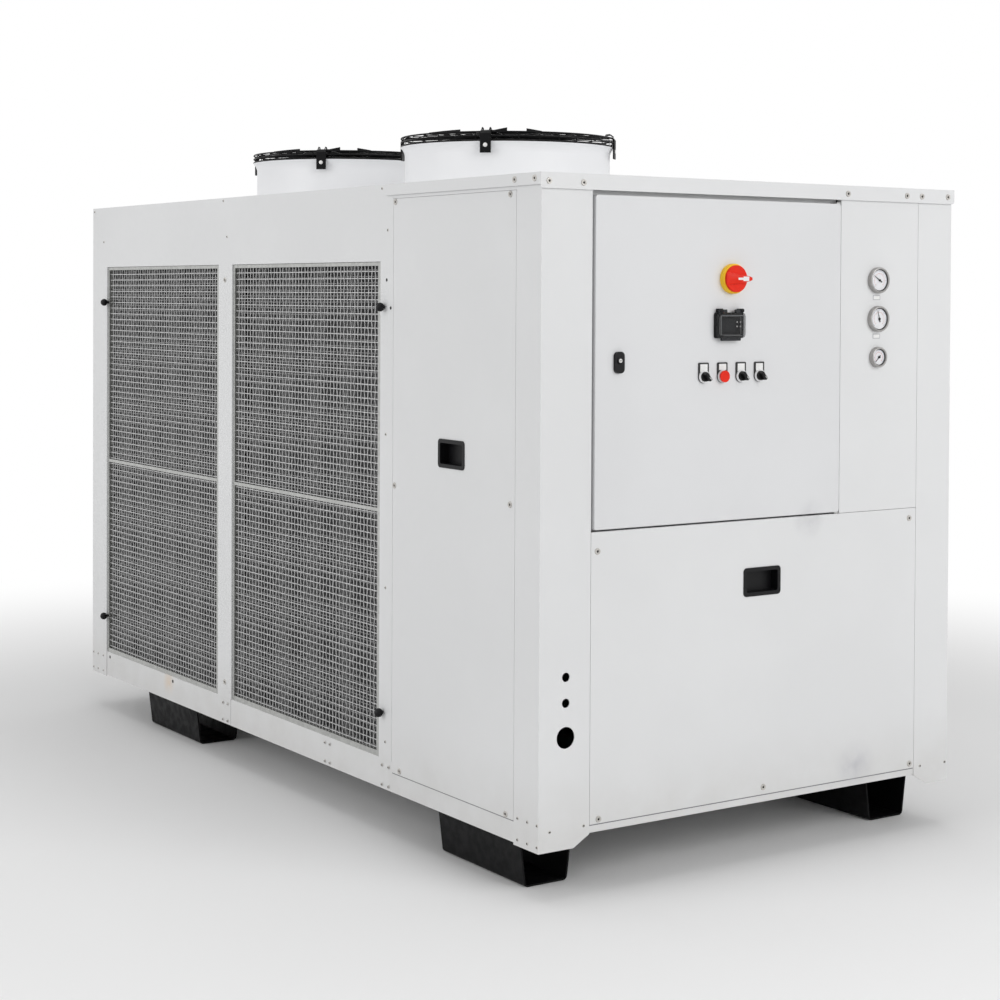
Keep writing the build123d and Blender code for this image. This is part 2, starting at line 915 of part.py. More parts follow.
# Gauge panel beside the door
gauge_panel_left = across(door_right) + door_gap
gauge_panel_right = right_x - post_front_right_w - panel_gap
gauge_panel_low = height(lower_panel_top) + panel_gap
gauge_panel_high = roof_z - sheet
with BuildPart() as gauge_panel:
    tray(
        front_face,
        (middle(gauge_panel_left, gauge_panel_right), middle(gauge_panel_low, gauge_panel_high)),
        (gauge_panel_right - gauge_panel_left, gauge_panel_high - gauge_panel_low),
        gauge_panel_fold,
    )
    for gauge_z, gauge_r in zip(gauge_zs, gauge_rs):
        with BuildSketch(front_face):
            with Locations((across(gauge_x), height(gauge_z))):
                Circle(gauge_r - gauge_flange)
        extrude(amount=-sheet, mode=Mode.SUBTRACT)
finish(gauge_panel.part, "gauge_panel")

for gauge_name, gauge_z, gauge_r in zip(("upper", "middle", "lower"), gauge_zs, gauge_rs):
    with BuildPart() as gauge:
        with BuildSketch(front_face):
            with Locations((across(gauge_x), height(gauge_z))):
                Circle(gauge_r)
        extrude(amount=gauge_proud)
        with BuildSketch(front_face):
            with Locations((across(gauge_x), height(gauge_z))):
                Circle(gauge_r - gauge_flange - seat_gap)
        extrude(amount=-gauge_body_depth)
        with BuildSketch(front_face.offset(gauge_proud)):
            with Locations((across(gauge_x), height(gauge_z))):
                Circle(gauge_r - gauge_flange)
        extrude(amount=-gauge_flange, mode=Mode.SUBTRACT)
    finish(gauge.part, f"gauge_{gauge_name}")


# Electrical box: a deep tray behind the door, with a mounting plate inside
door_face_y = front_y - door_proud
box_front = door_face_y + door_fold + box_gap
box_left = across(door_left) + box_rim
box_right = across(door_right) - box_rim
box_low = height(door_bottom) + box_rim
box_high = height(door_top) - box_rim
with BuildPart() as electrical_box:
    block((box_left, box_right), (box_front, box_front + box_depth), (box_low, box_high))
    block(
        (box_left + sheet, box_right - sheet),
        (box_front - 1, box_front + box_depth - sheet),
        (box_low + sheet, box_high - sheet),
        mode=Mode.SUBTRACT,
    )
    block(
        (across(post_front_left_w), gauge_panel_left),
        (box_front, box_front + sheet),
        (height(lower_panel_top) + panel_gap, post_top),
    )
    block(
        (box_left + sheet, box_right - sheet),
        (box_front - 1, box_front + sheet),
        (box_low + sheet, box_high - sheet),
        mode=Mode.SUBTRACT,
    )
finish(electrical_box.part, "electrical_box")

with BuildPart() as mounting_plate:
    plate_back = box_front + box_depth - sheet - plate_standoff
    block(
        (box_left + plate_margin, box_right - plate_margin),
        (plate_back - sheet, plate_back),
        (box_low + plate_margin, box_high - plate_margin),
    )
    stud_xs = box_right - box_left - 3 * plate_margin
    stud_zs = box_high - box_low - 3 * plate_margin
    box_back_face = Plane.XZ.offset(-plate_back)
    with BuildSketch(box_back_face):
        with Locations((middle(box_left, box_right), middle(box_low, box_high))):
            with GridLocations(stud_xs, stud_zs, 2, 2):
                Circle(plate_stud_r)
    extrude(amount=-plate_standoff)
finish(mounting_plate.part, "mounting_plate")


# Electrical door, hung on two pins at its right edge
hinge_x = across(door_right) - hinge_inset
hinge_y = door_face_y + hinge_inset
door_face = Plane.XZ.offset(-door_face_y)
door_centre = (
    middle(across(door_left), across(door_right)),
    middle(height(door_bottom), height(door_top)),
)
door_size = (door_right - door_left, door_top - door_bottom)

with BuildPart() as electrical_door:
    tray(door_face, door_centre, door_size, door_fold, door_corner_r)
    front_edges = electrical_door.edges().filter_by(Plane.XZ).group_by(Axis.Y)[0]
    fillet(front_edges, door_edge_r)
    for pin_z in (height(door_bottom), height(door_top)):
        with Locations((hinge_x, hinge_y, pin_z)):
            Cylinder(hinge_pin_r + hinge_clearance, 3 * sheet, mode=Mode.SUBTRACT)
finish(electrical_door.part, "electrical_door")

with BuildPart() as door_hinges:
    for pin_z, way in ((height(door_bottom), -1), (height(door_top), 1)):
        tab_near = pin_z + way * seat_gap
        tab_far = tab_near + way * hinge_tab_t
        block(
            (hinge_x - hinge_inset, hinge_x + hinge_inset),
            (hinge_y - hinge_inset / 2, box_front),
            (tab_near, tab_far),
        )
        with BuildSketch(Plane.XY.offset(tab_near)):
            with Locations((hinge_x, hinge_y)):
                Circle(hinge_pin_r)
        extrude(amount=-way * hinge_pin_in)
finish(door_hinges.part, "door_hinges")


# Main switch: a round base on the door, and the handle that turns on it
switch_face = door_face.offset(switch_base_h)
with BuildPart() as main_switch_base:
    with BuildSketch(door_face):
        with Locations((across(switch_x), height(switch_z))):
            Circle(switch_base_r)
    extrude(amount=switch_base_h)
    fillet(main_switch_base.edges().group_by(Axis.Y)[0], switch_base_round)
finish(main_switch_base.part, "main_switch_base")

disc_face = switch_face.offset(seat_gap)
handle_face = Plane(
    origin=(across(switch_x), door_face_y - switch_base_h - seat_gap - switch_disc_h, height(switch_z)),
    x_dir=(1, 0, 0),
    z_dir=(0, -1, 0),
)
flank = degrees(atan2(switch_butt_w / 2 - switch_tip_r, switch_tip_x + switch_butt_x))
with BuildPart() as main_switch_handle:
    with BuildSketch(handle_face):
        with BuildLine():
            tip = CenterArc((switch_tip_x, 0), switch_tip_r, flank - 90, 180 - 2 * flank)
            Polyline(
                tip @ 1,
                (-switch_butt_x, switch_butt_w / 2),
                (-switch_butt_x, -switch_butt_w / 2),
                tip @ 0,
            )
        make_face()
    extrude(amount=switch_handle_h)
    fillet(main_switch_handle.edges().group_by(Axis.Y)[0], switch_handle_round)
    with BuildSketch(disc_face):
        with Locations((across(switch_x), height(switch_z))):
            Circle(switch_disc_r)
    extrude(amount=switch_disc_h)
finish(main_switch_handle.part, "main_switch_handle")


# Controller in its housing, under a clear hinged cover
controller_centre = (across(controller_x), height(controller_z))
cover_axis_y = door_face_y - controller_proud - cover_gap - cover_lug_r
cover_axis_z = height(controller_z) + controller_h / 2 + cover_lug_r
lug_outer = controller_w / 2 - cover_lug_inset
with BuildPart() as controller:
    with BuildSketch(door_face):
        with Locations(controller_centre):
            RectangleRounded(controller_w, controller_h, controller_round)
    extrude(amount=controller_proud)
    for side, way in ((-1, 1), (1, -1)):
        lug_plane = Plane.YZ.offset(across(controller_x) + side * lug_outer)
        with BuildSketch(lug_plane):
            with Locations((cover_axis_y, cover_axis_z)):
                Circle(cover_lug_r)
            with Locations((middle(cover_axis_y, door_face_y), cover_axis_z)):
                Rectangle(door_face_y - cover_axis_y, 2 * (cover_lug_r - seat_gap))
        extrude(amount=way * cover_lug_w)
        with BuildSketch(lug_plane):
            with Locations((cover_axis_y, cover_axis_z)):
                Circle(cover_pin_r)
        extrude(amount=way * 2 * cover_lug_w)
finish(controller.part, "controller")

cover_face = door_face.offset(controller_proud + cover_gap)
latch_z = controller_centre[1] - (controller_h + cover_latch_h - cover_wall) / 2
with BuildPart() as controller_cover:
    with BuildSketch(cover_face):
        with Locations(controller_centre):
            RectangleRounded(controller_w, controller_h, controller_round)
    extrude(amount=cover_h)
    chamfer(controller_cover.edges().group_by(Axis.Y)[0], cover_chamfer)
    with BuildSketch(cover_face):
        with Locations(controller_centre):
            RectangleRounded(
                controller_w - 2 * cover_wall,
                controller_h - 2 * cover_wall,
                controller_round - cover_wall,
            )
    extrude(amount=cover_h - cover_wall, mode=Mode.SUBTRACT)
    with BuildSketch(cover_face):
        with Locations((controller_centre[0], latch_z)):
            Rectangle(cover_latch_w, cover_latch_h + cover_wall)
    extrude(amount=cover_latch_t)
    for side, way in ((-1, 1), (1, -1)):
        lug_plane = Plane.YZ.offset(across(controller_x) + side * (lug_outer - cover_lug_w - seat_gap))
        with BuildSketch(lug_plane):
            with Locations((cover_axis_y, cover_axis_z)):
                Circle(cover_lug_r)
            with Locations((cover_axis_y, cover_axis_z - cover_lug_r / 2)):
                Rectangle(2 * cover_lug_r, cover_lug_r)
            with Locations((cover_axis_y, cover_axis_z)):
                Circle(cover_pin_r + hinge_clearance, mode=Mode.SUBTRACT)
        extrude(amount=way * cover_lug_w)
finish(controller_cover.part, "controller_cover")


# Operators: legend plates with rings, three turn knobs and one push button
with BuildPart() as operator_plates:
    for operator_x in operator_xs:
        spot = (across(operator_x), height(operator_z))
        with BuildSketch(door_face) as legend:
            with Locations((spot[0], spot[1] + operator_plate_top / 2)):
                Rectangle(operator_plate_w, operator_plate_top)
            fillet(legend.vertices().group_by(Axis.Y)[-1], operator_plate_round)
            with Locations(spot):
                Circle(operator_plate_w / 2)
        extrude(amount=operator_plate_t)
        with BuildSketch(door_face.offset(operator_plate_t)):
            with Locations(spot):
                Circle(operator_ring_r)
        extrude(amount=operator_ring_h)
        with BuildSketch(door_face.offset(operator_plate_t + operator_ring_h)):
            with Locations(spot):
                Circle(operator_bore_r)
        extrude(amount=-operator_ring_h, mode=Mode.SUBTRACT)
finish(operator_plates.part, "operator_plates")

knob_base = door_face.offset(operator_plate_t + seat_gap)
selector_xs = (operator_xs[0], operator_xs[2], operator_xs[3])
for number, operator_x in enumerate(selector_xs, start=1):
    spot = (across(operator_x), height(operator_z))
    with BuildPart() as selector:
        with BuildSketch(knob_base):
            with Locations(spot):
                Circle(knob_r)
        extrude(amount=knob_h)
        with BuildSketch(knob_base.offset(knob_h)):
            with Locations(spot):
                Rectangle(knob_grip_w, knob_grip_l, rotation=knob_turn)
        extrude(amount=knob_grip_h)
    finish(selector.part, f"selector_{number}")

button_base = door_face.offset(operator_plate_t + button_travel + seat_gap)
cap_base = button_base.offset(operator_ring_h)
with BuildPart() as push_button:
    for step_face, step_r, step_h in (
        (button_base, knob_r, operator_ring_h),
        (cap_base, button_cap_r, button_cap_h),
    ):
        with BuildSketch(step_face):
            with Locations((across(operator_xs[1]), height(operator_z))):
                Circle(step_r)
        extrude(amount=step_h)
finish(push_button.part, "push_button")


# Lock near the door's free edge
with BuildPart() as door_lock:
    with BuildSketch(door_face):
        with Locations((across(lock_x), height(lock_z))):
            RectangleRounded(lock_w, lock_h, lock_round)
    extrude(amount=lock_t)
finish(door_lock.part, "door_lock")
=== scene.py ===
"""Looks of an air-cooled liquid chiller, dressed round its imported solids.

Laid out as an add-on: each group of like pieces has an operator, and the panel in the
3D view's sidebar lists them. Run as a script, it makes them all in order.
"""

from math import cos, pi, radians, sin

import bmesh
import bpy
from bpy.props import FloatProperty, FloatVectorProperty, IntProperty, PointerProperty
from bpy.types import Operator, Panel, PropertyGroup
from mathutils import Euler, Matrix, Vector


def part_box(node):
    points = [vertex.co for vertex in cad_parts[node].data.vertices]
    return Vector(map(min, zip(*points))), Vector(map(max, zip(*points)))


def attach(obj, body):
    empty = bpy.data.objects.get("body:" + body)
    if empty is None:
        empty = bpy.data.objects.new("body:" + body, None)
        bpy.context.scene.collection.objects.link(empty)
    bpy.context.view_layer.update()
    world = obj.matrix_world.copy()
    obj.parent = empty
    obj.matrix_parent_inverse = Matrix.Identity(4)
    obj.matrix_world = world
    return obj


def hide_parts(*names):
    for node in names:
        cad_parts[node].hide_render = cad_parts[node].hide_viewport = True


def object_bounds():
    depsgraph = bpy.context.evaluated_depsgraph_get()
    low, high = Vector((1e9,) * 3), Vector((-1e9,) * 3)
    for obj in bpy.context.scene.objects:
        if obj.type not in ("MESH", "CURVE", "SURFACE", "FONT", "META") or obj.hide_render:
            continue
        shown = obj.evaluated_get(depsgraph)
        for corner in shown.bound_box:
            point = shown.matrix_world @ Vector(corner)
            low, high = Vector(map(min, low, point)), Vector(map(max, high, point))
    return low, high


bl_info = {
    "name": "Liquid Chiller Looks",
    "version": (1, 0, 0),
    "blender": (4, 5, 0),
    "location": "View3D > Sidebar > Chiller",
    "description": "Finishes, wire cloth, guards, dials and fasteners of a liquid chiller",
    "category": "Object",
}

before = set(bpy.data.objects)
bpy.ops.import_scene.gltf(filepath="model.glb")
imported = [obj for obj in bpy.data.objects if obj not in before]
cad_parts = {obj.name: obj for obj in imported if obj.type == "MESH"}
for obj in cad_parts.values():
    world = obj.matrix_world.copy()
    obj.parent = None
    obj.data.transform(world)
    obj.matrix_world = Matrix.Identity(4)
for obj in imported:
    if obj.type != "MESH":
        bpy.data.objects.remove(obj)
cad_low, cad_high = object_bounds()

MM = 0.001
CABINET = "cabinet"
DOOR = "electrical_door"
SIDES = (("left", -1), ("right", 1))
UP = Vector((0, 0, 1))

SHARP = radians(35)
finishes = {}

# Turned forms in metres: slot, profile of (radius, height) and number of sides
# In the screw and rivet heads and in the holes, slot 1 is a near-black disc of painted shade standing
# for the socket or hole
SCREW_HEAD = (
    (0, ((0.0075, 0.0), (0.00675, 0.0024), (0.0045, 0.0024), (0.00315, 0.00096)), 16),
    (1, ((0.00285, 0.0012), (0.0027, 0.00132)), 6),
)
RIVET_HEAD = (
    (0, ((0.004, 0.0), (0.00352, 0.0009), (0.002, 0.0015)), 12),
    (1, ((0.00224, 0.0015), (0.00216, 0.0016)), 8),
)
OPEN_HOLE = ((1, ((0.004, 0.0), (0.004, 0.0002)), 14),)
BAND_HOLE = ((1, ((0.005, 0.0), (0.005, 0.0002)), 14),)
HUB_BOLT = ((1, ((0.006, 0.0), (0.006, 0.0025), (0.0048, 0.0034)), 6),)
ARM_SCREW = ((1, ((0.0058, 0.0), (0.0058, 0.0008), (0.0042, 0.0012)), 14),)
KEY = ((2, ((0.0021, 0.0), (0.0019, 0.0009), (0.0012, 0.0012)), 16),)
LOCK = (
    (0, ((0.0078, 0.0), (0.0078, 0.0016), (0.0066, 0.0022)), 24),
    (1, ((0.0046, 0.0022), (0.0044, 0.0026)), 20),
)

# Places of fasteners in millimetres: across and up on the front, back and up on the sides
FRONT_SCREWS = ((155.4, 649.3), (161.9, 54.6), (642.3, 62), (1119.9, 56.8), (1111.8, 667.4))
FRONT_RIVETS = ((29.9, 44.5), (121.4, 45.7), (1156.4, 46.7), (1243, 45.9))
CAP_SCREWS = ((16.5, 1462), (108.9, 1461), (894, 1461), (1090.7, 1462), (1141.6, 1462), (1232.3, 1463))
SIDE_SCREWS = (
    (616, 1437), (119.8, 1437), (616, 751.6), (115.3, 750.7),
    (127.3, 60.4), (587.4, 62.6), (1545.5, 121.6), (1550.2, 1251.4),
)
SIDE_CAP_SCREWS = ((96.7, 1468), (19, 1468))
BAND_RIVET_YS = (5, 42, 80, 640, 672, 936, 962, 1529, 1558, 2421.5, 2463, 2499)
BAND_RIVET_ZS = (14.0, 61.5)
SIDE_RIVETS = (
    (658.6, 873), (656.8, 498.5), (655.5, 121.2),
    (2496, 1470), (2421, 1373), (1562, 1473), (1538, 1372), (680, 1472), (652, 1370),
    *((y, z) for y in BAND_RIVET_YS for z in BAND_RIVET_ZS),
)
SIDE_HOLES = ((657, 1249), (637.5, 1181))
BAND_HOLES = ((2373, 63.5), (1899.4, 64.3))

# Fasteners of each face: their places, how far out in millimetres they sit, and their form
CAP_OUT = 5.0
BAND_OUT = -2.0
FRONT_FASTENERS = (
    (FRONT_SCREWS, 0.0, SCREW_HEAD),
    (CAP_SCREWS, CAP_OUT, SCREW_HEAD),
    (FRONT_RIVETS, 0.0, RIVET_HEAD),
)
SIDE_FASTENERS = (
    (SIDE_SCREWS, 0.0, SCREW_HEAD),
    (SIDE_CAP_SCREWS, CAP_OUT, SCREW_HEAD),
    (SIDE_RIVETS, 0.0, RIVET_HEAD),
    (SIDE_HOLES, 0.0, OPEN_HOLE),
    (BAND_HOLES, BAND_OUT, BAND_HOLE),
)
FASTENERS = {"front": FRONT_FASTENERS, "left": SIDE_FASTENERS, "right": SIDE_FASTENERS}

# Strips over the side panels, in metres: depth, reach past the panel and gap above it
STRIP_DEEP = 0.0115
STRIP_REACH = 0.0008
STRIP_GAP = 0.0007

# Filters: both bays, in metres back from the front, and the inner cloth's depth
BAYS = ((0.6903, 1.5038), (1.5942, 2.3937))
CLOTH_GAP = 0.0078

# Cloth: crimp as a share of the wire, drift in metres, and its turn for each row and column
CRIMP = 0.4
DRIFT = 0.002
SWAY = (0.045, 0.02)
SAG = (0.03, 0.07)

# Fan guards, in metres and degrees; tabs give their start, stop and height at either end
GUARD_HUB = 0.062
HUB_RING = ((0.0, -0.012), (0.0, -0.006), (-0.004, -0.004))
HUB_BOLTS = 0.045
SKIRT_LEVELS = (0.0026, 0.0135, 0.0245)
CROWN = 0.007
RING_SIDES = 80
SPOKE_STEPS = 6
GUARD_TABS = ((191, 211, 0.003, 0.007), (228, 236, 0.003, 0.011), (246, 254, 0.009, 0.003))
TAB_STEPS = 8
TAB_HALF = 0.0015

# Flat arms of the guards, in metres, and their hooks as reach from the rim and rise
ARM_TURNS = (45, 135, 225, 315)
ARM_THICK = 0.0042
ARM_START = 0.050
ARM_MIDDLE = 0.150
ARM_OVER = 0.0038
ARM_BEND = 0.012
ARM_OUT = 0.0054
ARM_DROP = 0.031
ARM_SCREW_DROP = 0.0105
HOOK = ((-0.020, 0.003), (-0.016, 0.0102), (-0.006, 0.0112), (0.002, 0.005))
HOOK_WIRE = 0.0036
HOOK_PLACES = (-0.0105, 0.0105)

# Main switch's grip along its length: place, half width and height above the disc, in metres
GRIP = (
    (-0.0300, 0.0145, 0.0006),
    (-0.0150, 0.0126, 0.0048),
    (0.0000, 0.0106, 0.0090),
    (0.0150, 0.0082, 0.0133),
    (0.0260, 0.0058, 0.0165),
    (0.0305, 0.0038, 0.0172),
    (0.0322, 0.0020, 0.0160),
)
GRIP_FOOT = 0.0012
POINTER = ((-0.003, 0.009, 0.0026), (0.009, 0.0225, 0.0052))
DISC_THICK = 0.006
DISC_EDGE = 0.001

# Plastics and prints: name, colour, roughness
PLASTICS = (
    ("black_plastic", (0.005, 0.005, 0.006), 0.4),
    # Next: grey of painted highlight on the controller face's edges
    ("grey_edge_highlight", (0.22, 0.22, 0.22), 0.4),
    ("yellow_plastic", (0.98, 0.60, 0.03), 0.4),
    ("red_plastic", (0.80, 0.022, 0.006), 0.4),
    # Next: pale grey of painted highlight, for the bright reflections on the smoked cover's edges
    ("cover_edge_highlight", (0.30, 0.31, 0.32), 0.3),
    ("dark_clear", (0.03, 0.032, 0.035), 0.25),
    ("label", (0.88, 0.88, 0.87), 0.5),
    ("label_edge", (0.55, 0.55, 0.57), 0.5),
    ("dial", (0.86, 0.86, 0.88), 0.45),
    ("dial_marks", (0.30, 0.33, 0.42), 0.5),
    ("dial_red", (0.62, 0.30, 0.30), 0.5),
    ("needle", (0.02, 0.02, 0.02), 0.4),
    # Next: near-black of painted shade for sockets, holes and the lock's key slot
    ("socket", (0.015, 0.014, 0.013), 0.7),
    ("screen", (0.03, 0.032, 0.034), 0.2),
)

# Zinc and steel: name and colour
METALS = (
    ("bright_zinc", (0.72, 0.71, 0.70)),
    ("stainless_bezel", (0.42, 0.41, 0.40)),
    ("dull_screw", (0.58, 0.56, 0.53)),
    ("outer_wire", (0.66, 0.66, 0.66)),
    # Next: the same wire as the outer cloth, made darker as painted shade for the inner layer deeper in
    # the filter
    ("inner_wire_shaded", (0.34, 0.34, 0.34)),
)

# Finishes of the solids by how their names start: the coat on all, then the rest over it
DRESSED = (
    ("powder_coat", ("",)),
    ("black_steel", ("foot_", "fan_guard", "fan_rotor", "fan_motor")),
    ("galvanised", ("filter_frames", "mounting_plate", "door_hinges")),
    ("coil_fins", ("coil",)),
    ("black_plastic", ("filter_knobs", "front_handle", "side_handle", "selector", "door_lock")),
    ("black_plastic", ("controller",)),
    ("powder_coat", ("controller_cover",)),
    ("yellow_plastic", ("main_switch_base",)),
    ("red_plastic", ("push_button", "main_switch_handle")),
    ("cowl_coat", ("fan_cowl",)),
    ("door_coat", ("electrical_door",)),
    ("operator_plastic", ("operator_plates",)),
)

# Gauges: needle's turn, and whether a label sits below; walls, dial, scale and label
GAUGES = (
    ("gauge_upper", radians(147), True),
    ("gauge_middle", radians(105), True),
    ("gauge_lower", radians(225), False),
)
CASE_WALL = 0.0034
RIM_WALL = 0.0048
DIAL_THICK = 0.0005
MARKS_FROM = 225
MARKS_ROUND = 270
MARK_WIDE = 0.0008
GAUGE_LABEL_SPOT = Vector((0.002, 0, 0.042))
GAUGE_LABEL = (0.024, 0.012, 0.002)
GAUGE_LABEL_FIELD = (0.020, 0.008, 0.001)

# Label fields on the door, across in millimetres and tall in metres, and marks of the levers
LABELS = ((447.5, 0.0178), (503.0, 0.0142), (558.5, 0.0178), (614.0, 0.0178))
LABEL_WIDE = 0.021
LABEL_DROP = 0.0035
LABEL_THICK = 0.0006
PLATE_THICK = 0.0025
LEVER_TURN = radians(40)
LEVER_MARK = (0.002, 0.009, -0.0007, 0.0007)

# Controller and its cover: bars as middle, width and height, lugs as place and width; the bars are
# strips of painted highlight along the edges
CONTROLLER_PROUD = 0.008
CONTROLLER_Z = 1147.0
PANEL = (0.066, 0.046, 0.003)
PANEL_THICK = 0.0016
SCREEN = (0.040, 0.030, 0.002)
SCREEN_SPOT = (-0.006, 0.0005)
KEY_XS = (0.0203, 0.0304)
KEY_ZS = (0.0074, -0.0026)
COVER_EDGE_HIGHLIGHTS = (
    (0.0, 0.0225, 0.062, 0.0022),
    (-0.0335, 0.0, 0.0018, 0.044),
    (0.0335, 0.0, 0.0022, 0.044),
    (0.002, -0.0235, 0.056, 0.0012),
)
COVER_LUGS = ((-0.0245, 0.024), (0.0235, 0.022))
LATCH_WIDE = 0.058
LUG_TALL = 0.009
CONTROLLER_EDGE_HIGHLIGHTS = (
    (0.0, 0.0218, 0.060, 0.0026),
    (-0.0312, 0.0, 0.0024, 0.040),
    (0.0312, 0.0, 0.0024, 0.040),
    (0.0, -0.0218, 0.060, 0.0016),
)

# The cabinet's front left corner, at the lower end of its post
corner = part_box("post_front_left")[0]

# Faint stains on the coat: place, reach and colour
STAINS = (
    (corner + Vector((936, 0, 77)) * MM, 0.075, (0.50, 0.50, 0.53)),
    (corner + Vector((780, 0, 685)) * MM, 0.06, (0.52, 0.52, 0.54)),
    (corner + Vector((0, 1925, 56)) * MM, 0.05, (0.72, 0.56, 0.40)),
)

# Dark lines on the coat: painted shadow below the front and side panels, which stand proud of the base,
# and a dark joint across the side bands
PANEL_SHADOW_TALL = 0.003
front_low, front_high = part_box("lower_front_panel")
flank_low, flank_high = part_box("side_panel_left")
FRONT_PANEL_SHADOW = (
    (front_low.x, front_low.y - 0.001, front_low.z - PANEL_SHADOW_TALL),
    (front_high.x, front_low.y + 0.003, front_low.z),
)
FLANK_PANEL_SHADOW = ((cad_low.x, flank_low.y, flank_low.z - PANEL_SHADOW_TALL), (cad_high.x, flank_high.y, flank_low.z))
BAND_SEAM = ((cad_low.x, corner.y + 1.5110, corner.z), (cad_high.x, corner.y + 1.5128, corner.z + 0.08))
SHADOWS_AND_JOINTS = (FRONT_PANEL_SHADOW, FLANK_PANEL_SHADOW, BAND_SEAM)

# Ways that a face of the cabinet looks: right hand, up and outwards
FACES = {
    "front": ((1, 0, 0), (0, 0, 1), (0, -1, 0)),
    "left": ((0, -1, 0), (0, 0, 1), (-1, 0, 0)),
    "right": ((0, 1, 0), (0, 0, 1), (1, 0, 0)),
}


def place(face, spot, turn=0.0):
    """Where a piece sits: its own Z points out of that face, and it may be turned about it."""
    matrix = Matrix(FACES[face]).transposed().to_4x4()
    matrix.translation = spot
    return matrix @ Matrix.Rotation(turn, 4, "Z")


def moved(seat, x, y, z):
    """That place, shifted along its own axes."""
    return seat @ Matrix.Translation((x, y, z))


def in_scene(name, data):
    """A new object of the scene."""
    made = bpy.data.objects.new(name, data)
    bpy.context.scene.collection.objects.link(made)
    return made


# Materials


class Finish:
    """A material, filed under its name, whose colour, roughness and relief come from nodes."""

    def __init__(self, name, colour, roughness=0.5, metallic=0.0):
        finishes[name] = bpy.data.materials.new(name)
        finishes[name].use_nodes = True
        self.tree = finishes[name].node_tree
        self.shader = self.tree.nodes["Principled BSDF"]
        self.socket("Metallic", metallic)
        self.socket("Roughness", roughness)
        self.socket("Base Color", (*colour, 1.0))
        self.coordinates = self.node("TexCoord")["Object"]

    def socket(self, name, value):
        """Set a value that is the same all over."""
        self.shader.inputs[name].default_value = value

    def node(self, kind, sources=None, values=None, **settings):
        """Outputs of a new node, whose inputs are fed from sources or hold values."""
        made = self.tree.nodes.new("ShaderNode" + kind)
        for name, setting in settings.items():
            setattr(made, name, setting)
        for name, value in (values or {}).items():
            made.inputs[name].default_value = value
        for name, source in (sources or {}).items():
            self.tree.links.new(source, made.inputs[name])
        return made.outputs

    def noise(self, scale, detail=3.0, stretch=(1.0, 1.0, 1.0)):
        """Cloudy noise, in cells per metre, that may be drawn out along an axis."""
        stretched = self.node("Mapping", {"Vector": self.coordinates}, {"Scale": stretch})["Vector"]
        return self.node("TexNoise", {"Vector": stretched}, {"Scale": scale, "Detail": detail})["Fac"]

    def cells(self, scale):
        """Flat cells of different value, as in zinc spangle."""
        cells = self.node("TexVoronoi", {"Vector": self.coordinates}, {"Scale": scale})
        return self.node("SeparateColor", {"Color": cells["Color"]})["Red"]

    def ramp(self, value, low, high, start=0.35, end=0.65):
        """A smooth step of value, from low to high."""
        values = {"From Min": start, "From Max": end, "To Min": low, "To Max": high}
        return self.node("MapRange", {"Value": value}, values, interpolation_type="SMOOTHSTEP")["Result"]

    def product(self, first, second):
        """Two values multiplied."""
        return self.node("Math", {0: first, 1: second}, operation="MULTIPLY")[0]

    def axes(self):
        """Places across, back and up, in metres."""
        return self.node("SeparateXYZ", {0: self.coordinates})

    def within(self, low, high):
        """1 inside a box given in metres, 0 outside it."""
        total = None
        for axis, start, stop in zip(self.axes(), low, high):
            values = {1: (start + stop) / 2, 2: (stop - start) / 2}
            inside = self.node("Math", {0: axis}, values, operation="COMPARE")[0]
            total = self.product(total, inside) if total else inside
        return total

    def spot(self, middle, reach):
        """1 at a place given in metres, falling to 0 at that reach from it."""
        distance = self.node("VectorMath", {0: self.coordinates}, {1: middle}, operation="DISTANCE")
        return self.ramp(distance["Value"], 1.0, 0.0, 0.0, reach)

    def tint(self, amount, colour):
        """Mix another colour into the base colour where amount is high."""
        before = self.shader.inputs["Base Color"]
        sources, values = {"Factor": amount}, {"B": (*colour, 1.0)}
        if before.is_linked:
            sources["A"] = before.links[0].from_socket
        else:
            values["A"] = before.default_value
        self.tree.links.new(self.node("Mix", sources, values, data_type="RGBA")["Result"], before)

    def rough(self, value, low, high):
        """Roughness that follows a value."""
        self.tree.links.new(self.ramp(value, low, high, 0.3, 0.7), self.shader.inputs["Roughness"])

    def relief(self, value, depth, strength=1.0):
        """Bump of that depth in metres, on top of any before."""
        normal = self.shader.inputs["Normal"]
        sources = {"Height": value}
        if normal.is_linked:
            sources["Normal"] = normal.links[0].from_socket
        bump = self.node("Bump", sources, {"Strength": strength, "Distance": depth})
        self.tree.links.new(bump["Normal"], normal)


def darker(colour, share):
    """That share of a colour."""
    return tuple(part * share for part in colour)


def powder_coat(name, colour):
    """Pale powder coat: fine orange peel, faint clouding, a mottled darker and browner tone low down,
    painted shadow under the panels, and stains.
    """
    coat = Finish(name, colour, roughness=0.42)
    coat.tint(coat.ramp(coat.noise(2.3, 4.0), 0.0, 0.22), darker(colour, 0.86))
    # Mottled, darker and browner towards the bottom
    low_down = coat.ramp(coat.axes()["Z"], 0.35, 0.0, 0.1, 0.32)
    coat.tint(coat.product(low_down, coat.noise(14.0, 6.0)), (0.42, 0.39, 0.34))
    # Painted shadow under the front and side panels, and the dark joint across the side bands
    for low, high in SHADOWS_AND_JOINTS:
        coat.tint(coat.within(low, high), (0.20, 0.20, 0.21))
    for middle, reach, colour_there in STAINS:
        patch = coat.product(coat.spot(middle, reach), coat.ramp(coat.noise(18.0, 4.0), 0.25, 0.75))
        coat.tint(patch, colour_there)
    coat.rough(coat.noise(60.0, 2.0), 0.38, 0.5)
    coat.relief(coat.noise(420.0, 2.0), 0.0004, 0.35)
    coat.relief(coat.noise(3.2, 2.0), 0.0025, 0.25)


